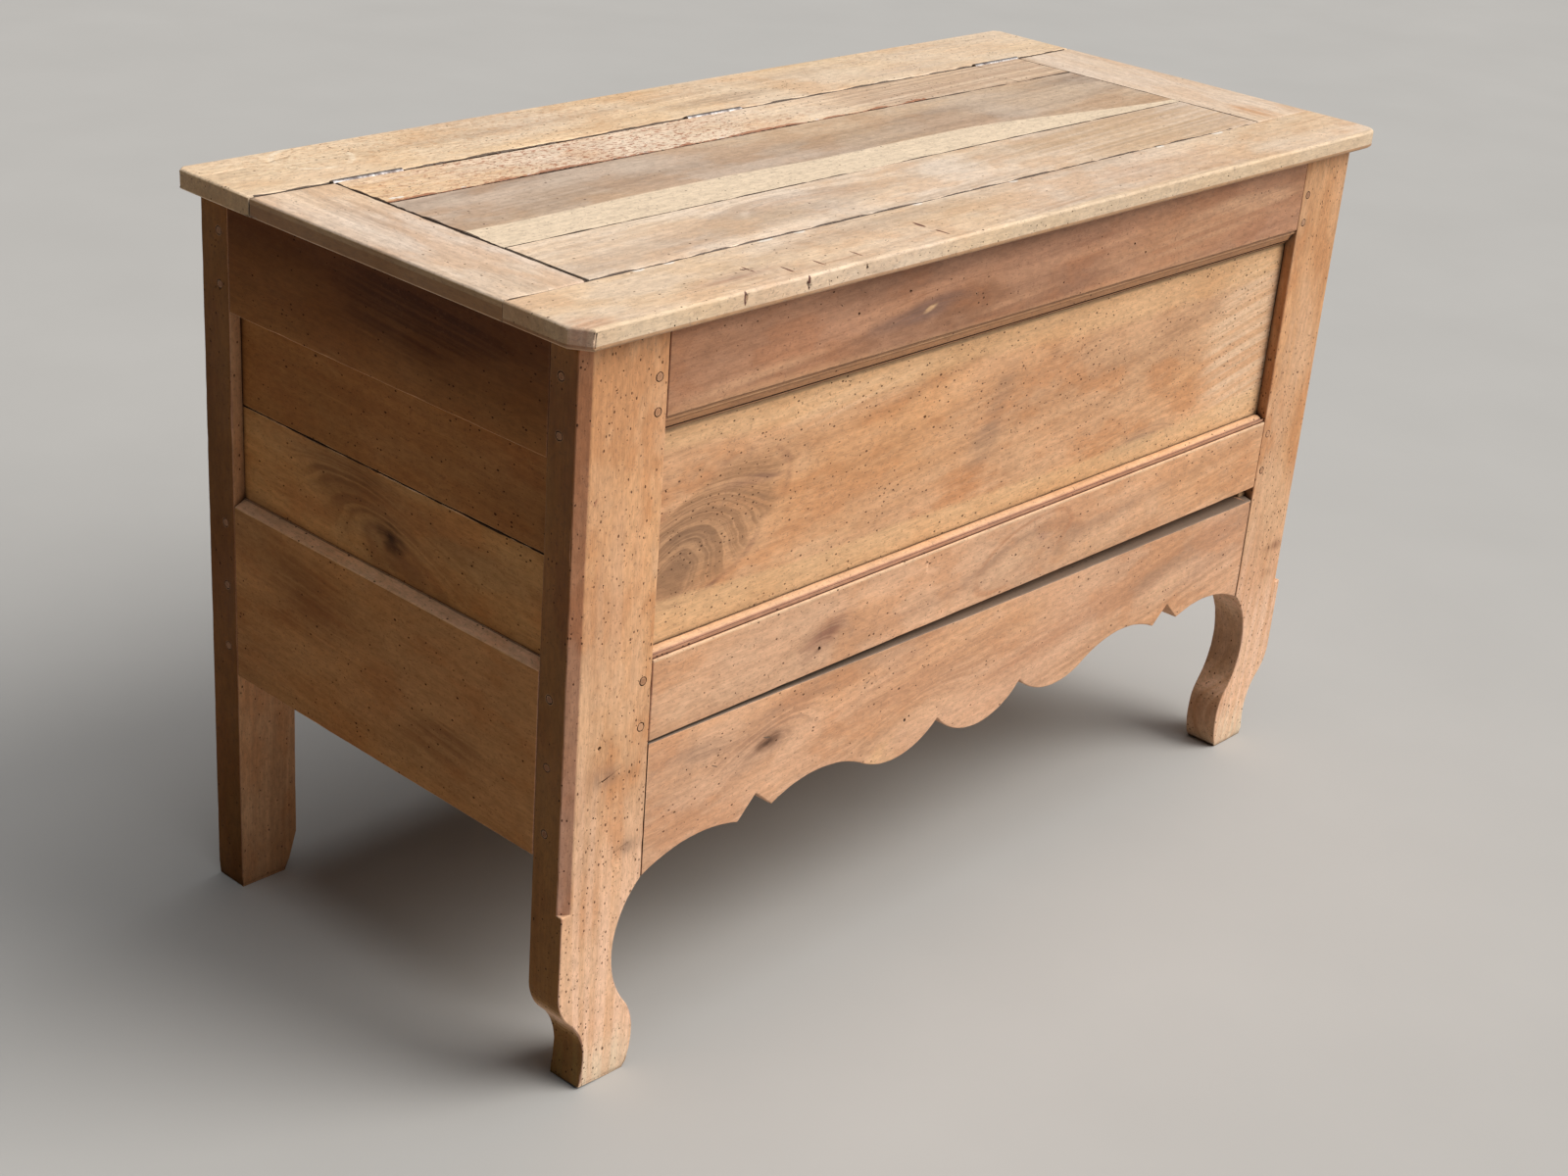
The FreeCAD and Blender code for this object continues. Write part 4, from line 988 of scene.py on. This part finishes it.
for number, side in enumerate(("left", "right")):
    for offset, part in enumerate(("top_rail", "bottom_rail", "panel_upper_board",
                                   "panel_lower_board")):
        name = f"{side}_{part}"
        face = (0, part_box(name)[number].x)
        # Painted light: the lower boards take paler tones than the top rail and upper board
        tone = {"bottom_rail": SIDE_LIT_LOWER, "panel_lower_board": SIDE_LIT_LOWEST}.get(part, SIDE)
        board = Wood(name, "y", tone, face, seed=10.0 + 4 * number + offset, wave=0.02,
                     slope=(0.08, 0.03))
        board.seam(2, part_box(f"{side}_panel_upper_board")[0].z - 0.0004, 0.0012)
        if part == "top_rail":
            # Painted shadow under the lid's overhang: the side's top rail darkened towards its top,
            # most in one soft patch
            board.stripe(0.72, 0.84, (140, 92, 56), 0.6, soft=0.04)
            board.stripe(0.785, 0.84, (108, 62, 30), 0.7, soft=0.03)
            board.patch((-0.06, 0.79), 0.06, 3.2, (96, 52, 24), 0.8, full=0.3)
        if part == "panel_lower_board":
            board.knot((0.0, 0.53), 0.021)
            board.patch((0.08, 0.573), 0.05, 2.0, (160, 110, 74), 0.6)
        if part == "bottom_rail":
            board.paint([
                (0.118, 0.421, 0.07, 1.4, (160, 106, 68), 0.6),
                (-0.112, 0.35, 0.04, 2.0, (150, 98, 62), 0.5)])
        worn_board(board.build(worms=0.7, heart=0.35, contrast=0.35, roughness=0.7, shine=0.1),
                   step=0.02)
for offset, part in enumerate(("back_top_rail", "back_bottom_rail", "back_panel_upper_board",
                               "back_panel_lower_board")):
    board = Wood(part, "x", INNER, seed=20.0 + offset, wave=0.02, slope=(0.06, 0.03))
    worn_board(board.build(worms=0.5), step=0.03)

# ---- drawer
front = Wood("drawer_front", "x", DRAWER, FRONT_FACE, seed=30.0, wave=0.018, pith=(0.2, 0.05),
             slope=(0.13, 0.04))
front.swirl((-0.49, 0.356), 0.03, 4.0, lift=0.6, tilt=0.12)
front.knot((-0.366, 0.334), 0.014, 1.8)
front.paint([
    (-0.47, 0.356, 0.014, 7.0, GREY_BROWN, 0.6, 0.1),
    (-0.4, 0.345, 0.018, 4.0, (166, 120, 92), 0.5)])
front.swirl((-0.13, 0.27), 0.05, 2.6, lift=0.8, tilt=-0.3)
front.paint([
    (0.0, 0.325, 0.05, 4.0, (190, 139, 104), 0.7, -0.1),
    (-0.14, 0.335, 0.04, 3.5, (198, 147, 112), 0.7, 0.0, 0.4),
    (-0.17, 0.236, 0.035, 1.6, CREAM, 0.6),
    (0.12, 0.3, 0.03, 6.0, (196, 140, 104), 0.6, -0.2),
    (0.36, 0.3, 0.035, 4.0, (228, 182, 144), 0.6, -0.35),
    (0.4, 0.366, 0.02, 3.0, (190, 134, 92), 0.5)])
cuts = scratches(FRONT_FACE, [
    (-0.376, 0.336, -0.36, 0.33, 0.002, 0.001),
    (-0.452, 0.33, -0.44, 0.322, 0.0012, 0.0008)])
cuts += bores(FRONT_FACE, [
    (-0.137, 0.276, 0.0028, 0.003),
    (-0.13, 0.279, 0.0016, 0.003)])
area = (FRONT_FACE, (-0.5, 0.325), (0.5, 0.37))
cuts += scattered_bores(*area, 22) + nicks(*area, 18)
worn_board(front.build(worms=0.6, heart=0.4, contrast=0.55, weathered_shaded_top=0.85, edges=0.6),
           step=0.01, shape=worn_drawer_top, cuts=cuts)

# ---- top
back = Wood("top_back_plank", "flat x", PLANK_BACK, TOP_FACE, seed=40.0, wave=0.02)
back.patch((-0.6, 0.26), 0.1, 2.5, (238, 210, 174), 0.7)
back.rim((-0.535, 0.262), 0.04, 1.1, 0.005, (246, 228, 202), 0.75)
back.pitting((-0.35, 0.27), 0.11, 5.0, (188, 140, 100), 0.5)
back.pitting((0.45, 0.28), 0.06, 5.0, (188, 146, 110), 0.45)
back.paint([
    (0.05, 0.225, 0.022, 7.0, (170, 144, 122), 0.6),
    (0.35, 0.215, 0.02, 8.0, (190, 164, 142), 0.5),
    (0.5, 0.25, 0.12, 3.0, (228, 206, 182), 0.6)])
back.seam(1, REAR_JOINT, 0.0014, limits=(-0.668, 0.668))
cuts = scratches(TOP_FACE, [
    (-0.676, 0.266, -0.592, 0.273, 0.0012, 0.003),
    (-0.6, 0.272, -0.528, 0.292, 0.001, 0.002),
    (0.42, 0.214, 0.428, 0.232, 0.0014, 0.0012),
    (-0.29, 0.225, -0.235, 0.245, 0.0009, 0.0008)])
cuts += scattered_bores(TOP_FACE, (-0.66, 0.19), (0.66, 0.3), 60)
worn_board(back.build(worms=0.9, shaded=0.75, heart=0.25, contrast=0.35),
           width=0.0006, free_width=0.003, cuts=cuts)

plank = Wood("lid_rear_plank", "flat x", PLANK_REAR, TOP_FACE, seed=41.0, wave=0.016)
plank.paint([
    (0.42, 0.14, 0.14, 2.6, (197, 167, 141), 1.0, 0.0, 0.5),
    (-0.5, 0.14, 0.1, 2.0, (236, 196, 150), 0.6)])
plank.pitting((-0.26, 0.135), 0.13, 3.2, RED_ROT, 0.85)
plank.flecks([(-0.556, 0.104), (-0.548, 0.103)], 0.003, 2.0, FILLER)
plank.flecks([(x, PLANK_JOINTS[0] + 0.004)
              for x in (-0.47, -0.38, -0.355, -0.24, -0.21, -0.09, -0.02, 0.07)],
             0.0026, 1.6, FILLER)
plank.seam(1, PLANK_JOINTS[0], 0.006, 0.85, RED_ROT, limits=(-0.58, 0.27))
plank.seam(1, PLANK_JOINTS[0], 0.0018, 0.8)
plank.seam(1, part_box("lid_rear_plank")[1].y, 0.0016)
plank.seam(0, END_JOINTS[0], 0.0048)
cuts = scattered_bores(TOP_FACE, (-0.56, 0.1), (0.2, 0.17), 60)
cuts.append(open_joint(0.084, 0.181))
worn_board(plank.build(worms=1.1, shaded=0.0, heart=0.25), width=0.0013,
           step=0.004, shape=crumbled_edge, cuts=cuts)

plank = Wood("lid_middle_plank", "flat x", PLANK_MIDDLE, TOP_FACE, seed=42.0, wave=0.024,
             slope=(0.05, 0.02))
plank.paint([
    (-0.4, 0.03, 0.05, 3.0, (172, 144, 120), 0.6),
    (0.1, 0.0, 0.035, 5.0, (182, 158, 138), 0.6),
    (0.4, 0.03, 0.07, 3.0, (212, 187, 161), 0.8),
    (-0.15, 0.06, 0.03, 4.0, (198, 170, 146), 0.5)])
plank.band(-0.12, -0.022, SAPWOOD, 0.95, drift=-0.01, soft=0.0025, taper=0.045)
plank.seam(1, PLANK_JOINTS[0], 0.0016)
plank.seam(1, PLANK_JOINTS[1], 0.0014)
plank.seam(0, END_JOINTS[0], 0.0036)
plank.seam(0, END_JOINTS[1], 0.001, 0.6)
cuts = scratches(TOP_FACE, [
    (0.063, 0.092, 0.073, 0.014, 0.0012, 0.0006),
    (-0.36, -0.05, -0.355, -0.075, 0.001, 0.0008)])
cuts.append(open_joint(-0.087, 0.005))
cuts += nicks(TOP_FACE, (-0.5, -0.07), (0.5, 0.07), 12)
worn_board(plank.build(worms=0.15, shaded=0.0, heart=0.4, contrast=0.5), width=0.0012, cuts=cuts)

plank = Wood("lid_front_plank", "flat x", PLANK_FRONT, TOP_FACE, seed=43.0, wave=0.018,
             pith=(0.2, 0.05), slope=(0.07, 0.02))
plank.swirl((-0.22, -0.12), 0.05, 3.5, lift=0.9)
plank.paint([
    (-0.22, -0.125, 0.028, 4.0, (206, 172, 146), 0.5),
    (-0.5, -0.14, 0.07, 3.0, (222, 194, 166), 0.7),
    (0.38, -0.14, 0.09, 3.0, (201, 170, 138), 0.9, 0.0, 0.5)])
plank.seam(1, PLANK_JOINTS[1], 0.0014)
plank.seam(1, RAIL_JOINT, 0.0018)
plank.seam(0, END_JOINTS[0], 0.0036)
plank.seam(0, END_JOINTS[1], 0.0012, 0.7)
cuts = scratches(TOP_FACE, [(0.098, -0.143, 0.085, -0.168, 0.0014, 0.001)])
cuts.append(open_joint(-0.206, -0.084))
cuts += nicks(TOP_FACE, (-0.5, -0.19), (0.5, -0.1), 12)
worn_board(plank.build(worms=0.15, shaded=0.0, heart=0.35, contrast=0.7), width=0.0012, cuts=cuts)

rail = Wood("lid_front_rail", "flat x", LID_RAIL, TOP_FACE, seed=44.0, wave=0.016,
            pith=(0.2, 0.05), slope=(0.05, 0.02))
rail.paint([
    (0.25, -0.26, 0.04, 5.0, (204, 170, 144), 0.6),
    (-0.1, -0.24, 0.03, 6.0, (206, 174, 142), 0.5)])
rail.patch((-0.65, -0.3, 0.838), 0.035, 1.0, (204, 158, 126), 0.7)
rail.band(-0.08, -0.05, (226, 198, 162), 0.6)
rail.seam(1, RAIL_JOINT, 0.0018, limits=(END_JOINTS[0], END_JOINTS[1]))
rail.flecks([(x, RAIL_JOINT - 0.003) for x in (-0.51, -0.47, -0.339, -0.333, -0.286, -0.102,
                                               0.062, 0.342, 0.46, 0.466)],
            0.0044, 2.0, FILLER)
rail.flecks([(-0.159, -0.258), (-0.158, -0.29), (-0.42, -0.265), (-0.387, -0.286),
             (-0.345, -0.289), (-0.291, -0.289)],
            0.011, 0.15, (112, 66, 54))
rail.flecks([(-0.382, NOSING, 0.843), (-0.47, NOSING, 0.844), (-0.425, -0.262)], 0.0032, 0.7,
            (96, 50, 42))
# Painted shade: a darker brown band along the nosing's lower, downward-turning edge
rail.stripe(0.829, 0.8335, (172, 122, 80), 0.75, soft=0.0006)
cuts = scratches(TOP_FACE, [
    (-0.161, -0.237, -0.157, -0.302, 0.002, 0.0016),
    (-0.428, -0.254, -0.411, -0.276, 0.0022, 0.0012),
    (-0.44, -0.262, -0.395, -0.262, 0.0012, 0.0008),
    (-0.387, -0.272, -0.388, -0.3, 0.0014, 0.0012),
    (-0.345, -0.278, -0.345, -0.3, 0.0012, 0.001),
    (-0.288, -0.272, -0.293, -0.302, 0.0012, 0.001),
    (-0.555, -0.28, -0.54, -0.3, 0.0014, 0.001),
    (-0.585, -0.296, -0.54, -0.3, 0.001, 0.0008)])
cuts += scratches(NOSING_FACE, [
    (-0.383, 0.846, -0.38, 0.836, 0.003, 0.003),
    (-0.47, 0.848, -0.468, 0.838, 0.0022, 0.003),
    (-0.3, 0.847, -0.297, 0.84, 0.0016, 0.002)])
cuts += scattered_bores(NOSING_FACE, (-0.62, 0.834), (0.6, 0.844), 34)
cuts += scattered_bores(TOP_FACE, (-0.62, -0.295), (0.62, -0.22), 26)
cuts += nicks(TOP_FACE, (-0.62, -0.29), (0.62, -0.22), 26, longest=0.012)
cuts += nicks(NOSING_FACE, (-0.62, 0.834), (0.62, 0.846), 20, longest=0.006)
rail.paint([
    (-0.45, -0.272, 0.016, 5.0, (150, 104, 92), 0.5),
    (-0.3, -0.29, 0.012, 10.0, (190, 150, 118), 0.6),
    (0.05, -0.298, 0.01, 14.0, (186, 144, 110), 0.6),
    (0.3, -0.3, 0.012, 12.0, (190, 150, 118), 0.5)])
worn_board(rail.build(worms=0.35, shaded=0.75, heart=0.25, contrast=0.35),
           width=0.0006, free_width=0.0036, shape=rounder_corner, cuts=cuts)

for number, side in enumerate(("left", "right")):
    name = f"lid_{side}_end_board"
    board = Wood(name, "flat y", LID_END, TOP_FACE, seed=45.0 + number, wave=0.014)
    board.patch((0.62, 0.0), 0.12, 2.5, (226, 200, 174), 0.6)
    if side == "left":
        board.patch((-0.62, 0.08), 0.04, 3.0, (190, 160, 134), 0.6)
        cuts = [bore((-0.672, RAIL_JOINT + 0.003, 0.842), 0.004, 0.006, SIDE_OUT)]
    else:
        board.patch((0.606, -0.165), 0.03, 1.6, (206, 150, 104), 0.7)
        cuts = scratches(TOP_FACE, [(0.6, -0.15, 0.655, -0.178, 0.0012, 0.0015)])
    board.seam(0, END_JOINTS[number], 0.002 if side == "left" else 0.001)
    board.seam(1, RAIL_JOINT, 0.0006, 0.6, limits=(-0.668, 0.668))
    board.seam(1, REAR_JOINT - 0.003, 0.0009, 0.8, limits=(-0.668, 0.668))
    # Painted shade: the lower part of the end board's outer edges darkened
    board.stripe(0.8292, 0.843, (186, 142, 100), 0.8, soft=0.0008)
    worn_board(board.build(worms=0.4, shaded=0.95, heart=0.25, contrast=0.4, edges=0.1),
               width=0.0005, free_width=0.0036, cuts=cuts)

# ---- boards inside
for number, node in enumerate(sorted(nodes)):
    if slots[node] != "inner_wood" or node.startswith("back_"):
        continue
    low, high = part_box(node)
    lengthwise = high.x - low.x > high.y - low.y
    board = Wood(node, "flat x" if lengthwise else "flat y", INNER, seed=60.0 + number)
    worn_board(board.build(worms=0.2, shaded=0.0), width=0.0008, step=0.06, across=0.08)

# ---- pegs
PEG_SIDES = 10
PEG_PROUD = 0.0002


def islands(data):
    """The separate solids of a grouped node, as lists of points."""
    mesh = bmesh.new()
    mesh.from_mesh(data)
    bmesh.ops.remove_doubles(mesh, verts=mesh.verts, dist=1e-6)
    left = set(mesh.verts)
    groups = []
    for first in mesh.verts:
        if first not in left:
            continue
        left.remove(first)
        group, queue = [], [first]
        while queue:
            vertex = queue.pop()
            group.append(vertex.co.copy())
            for edge in vertex.link_edges:
                other = edge.other_vert(vertex)
                if other in left:
                    left.remove(other)
                    queue.append(other)
        groups.append(group)
    mesh.free()
    return groups


def whittled_peg(points):
    """A peg cut by hand: an uneven many-sided pin with an eased outer end."""
    low = Vector([min(point[axis] for point in points) for axis in range(3)])
    high = Vector([max(point[axis] for point in points) for axis in range(3)])
    centre, size = (low + high) / 2, high - low
    axis = max((0, 1), key=lambda index: abs(centre[index]) / (0.65, 0.29)[index])
    across = [index for index in range(3) if index != axis]
    radius = min(size[across[0]], size[across[1]]) / 2
    outer, inner = (low, high) if centre[axis] < 0 else (high, low)
    out = -1 if centre[axis] < 0 else 1
    turn = random.random()
    reaches = [radius * random.uniform(0.9, 1.0) for _ in range(PEG_SIDES)]
    rows = ((inner[axis], 1.0), (outer[axis] + out * (PEG_PROUD - 0.001), 1.0),
            (outer[axis] + out * PEG_PROUD, 0.86))
    made = []
    for place, taper in rows:
        for number in range(PEG_SIDES):
            angle = 2 * math.pi * number / PEG_SIDES + turn
            point = [0.0, 0.0, 0.0]
            point[axis] = place
            point[across[0]] = centre[across[0]] + math.cos(angle) * reaches[number] * taper
            point[across[1]] = centre[across[1]] + math.sin(angle) * reaches[number] * taper
            made.append(point)
    faces = [tuple(range(PEG_SIDES)), tuple(range(2 * PEG_SIDES, 3 * PEG_SIDES))]
    for row in range(2):
        for number in range(PEG_SIDES):
            after = (number + 1) % PEG_SIDES
            start, above = row * PEG_SIDES, (row + 1) * PEG_SIDES
            faces.append((start + number, start + after, above + after, above + number))
    return made, faces


peg_wood = Wood("front_rail_pegs", "x", PEG, seed=52.0, name="pegs").build(worms=0.0)
for node in nodes:
    if slots[node] == "peg_wood":
        pegs = [whittled_peg(points) for points in islands(nodes[node].data)]
        place_piece(joined_mesh(node + "_worn", pegs), peg_wood.material, node)


# ---- hinges and nails
def old_steel(name, light, dark, metallic):
    graph = Graph(name)
    place = graph.add("TexCoord", {}).outputs["Object"]
    cloud = graph.noise(graph.vector("MULTIPLY", place, (90.0, 90.0, 90.0)), detail=4.0)[0]
    brush = graph.noise(graph.vector("MULTIPLY", place, (60.0, 1500.0, 1500.0)))[0]
    colour = graph.mix(graph.mask(cloud, 0.35, 0.65), dark, light)
    height = graph.times_add(brush, 0.3, cloud)
    bump = graph.add("Bump", {"Height": height, "Strength": 0.4, "Distance": 0.0004})
    return graph.finish(colour, graph.mask(cloud, 0.3, 0.7, 0.55, 0.34), bump.outputs[0],
                        Metallic=metallic)


steel = old_steel("old_steel", srgb(178, 172, 170), srgb(104, 94, 92), 0.8)
iron = old_steel("old_iron", srgb(70, 62, 56), srgb(40, 32, 28), 0.6)
for node in nodes:
    if slots[node] == "hinge_steel":
        dress(node, steel)
    elif slots[node] == "nail_iron":
        dress(node, iron)


# ---- floor, light and camera
def floor():
    half = 12.0
    data = bpy.data.meshes.new("floor")
    data.from_pydata([(-half, -half, 0), (half, -half, 0), (half, half, 0), (-half, half, 0)],
                     [], [(0, 1, 2, 3)])
    graph = Graph("pale_floor")
    place = graph.add("TexCoord", {}).outputs["Object"]
    cloud = graph.noise(graph.vector("MULTIPLY", place, (3.0, 3.0, 3.0)), detail=5.0)[0]
    colour = graph.mix(cloud, srgb(172, 170, 167), srgb(180, 178, 175))
    bump = graph.add("Bump", {"Height": cloud, "Strength": 0.1, "Distance": 0.001})
    data.materials.append(graph.finish(colour, 0.8, bump.outputs[0]))
    item = bpy.data.objects.new("floor", data)
    bpy.context.scene.collection.objects.link(item)


def soft_sun(name, heading, height, spread, power, colour=(1.0, 1.0, 1.0)):
    """A large soft light far away; heading and height in degrees say where it stands."""
    data = bpy.data.lights.new(name, "SUN")
    data.energy = power
    data.angle = math.radians(spread)
    data.color = colour
    item = bpy.data.objects.new(name, data)
    heading, height = math.radians(heading), math.radians(height)
    place = Vector((math.cos(heading) * math.cos(height), math.sin(heading) * math.cos(height),
                    math.sin(height)))
    item.rotation_euler = place.to_track_quat("Z", "Y").to_euler()
    bpy.context.scene.collection.objects.link(item)


def sky(strength):
    world = bpy.data.worlds.new("studio")
    world.use_nodes = True
    world.node_tree.nodes["Background"].inputs[0].default_value = (0.9, 0.95, 1.0, 1.0)
    world.node_tree.nodes["Background"].inputs[1].default_value = strength
    bpy.context.scene.world = world


CAMERA_PLACE = (-2.0585, -1.7889, 1.5549)
CAMERA_LENS = 55.79


def camera():
    yaw, pitch, roll = 0.848, 0.434, 0.081
    forward = Vector((math.sin(yaw) * math.cos(pitch), math.cos(yaw) * math.cos(pitch),
                      -math.sin(pitch)))
    right = Vector((math.cos(yaw), -math.sin(yaw), 0))
    up = right.cross(forward)
    tilted_right = right * math.cos(roll) + up * math.sin(roll)
    tilted_up = up * math.cos(roll) - right * math.sin(roll)
    data = bpy.data.cameras.new("camera")
    data.sensor_width = 36.0
    data.lens = CAMERA_LENS
    item = bpy.data.objects.new("camera", data)
    turn = Matrix((tilted_right, tilted_up, -forward)).transposed().to_4x4()
    item.matrix_world = Matrix.Translation(CAMERA_PLACE) @ turn
    bpy.context.scene.collection.objects.link(item)
    bpy.context.scene.camera = item


floor()
soft_sun("key", -52, 40, 40, 2.75, (1.0, 0.97, 0.92))
soft_sun("top", -45, 72, 60, 1.9)
sky(0.06)
camera()
bpy.context.scene.view_settings.view_transform = "Standard"
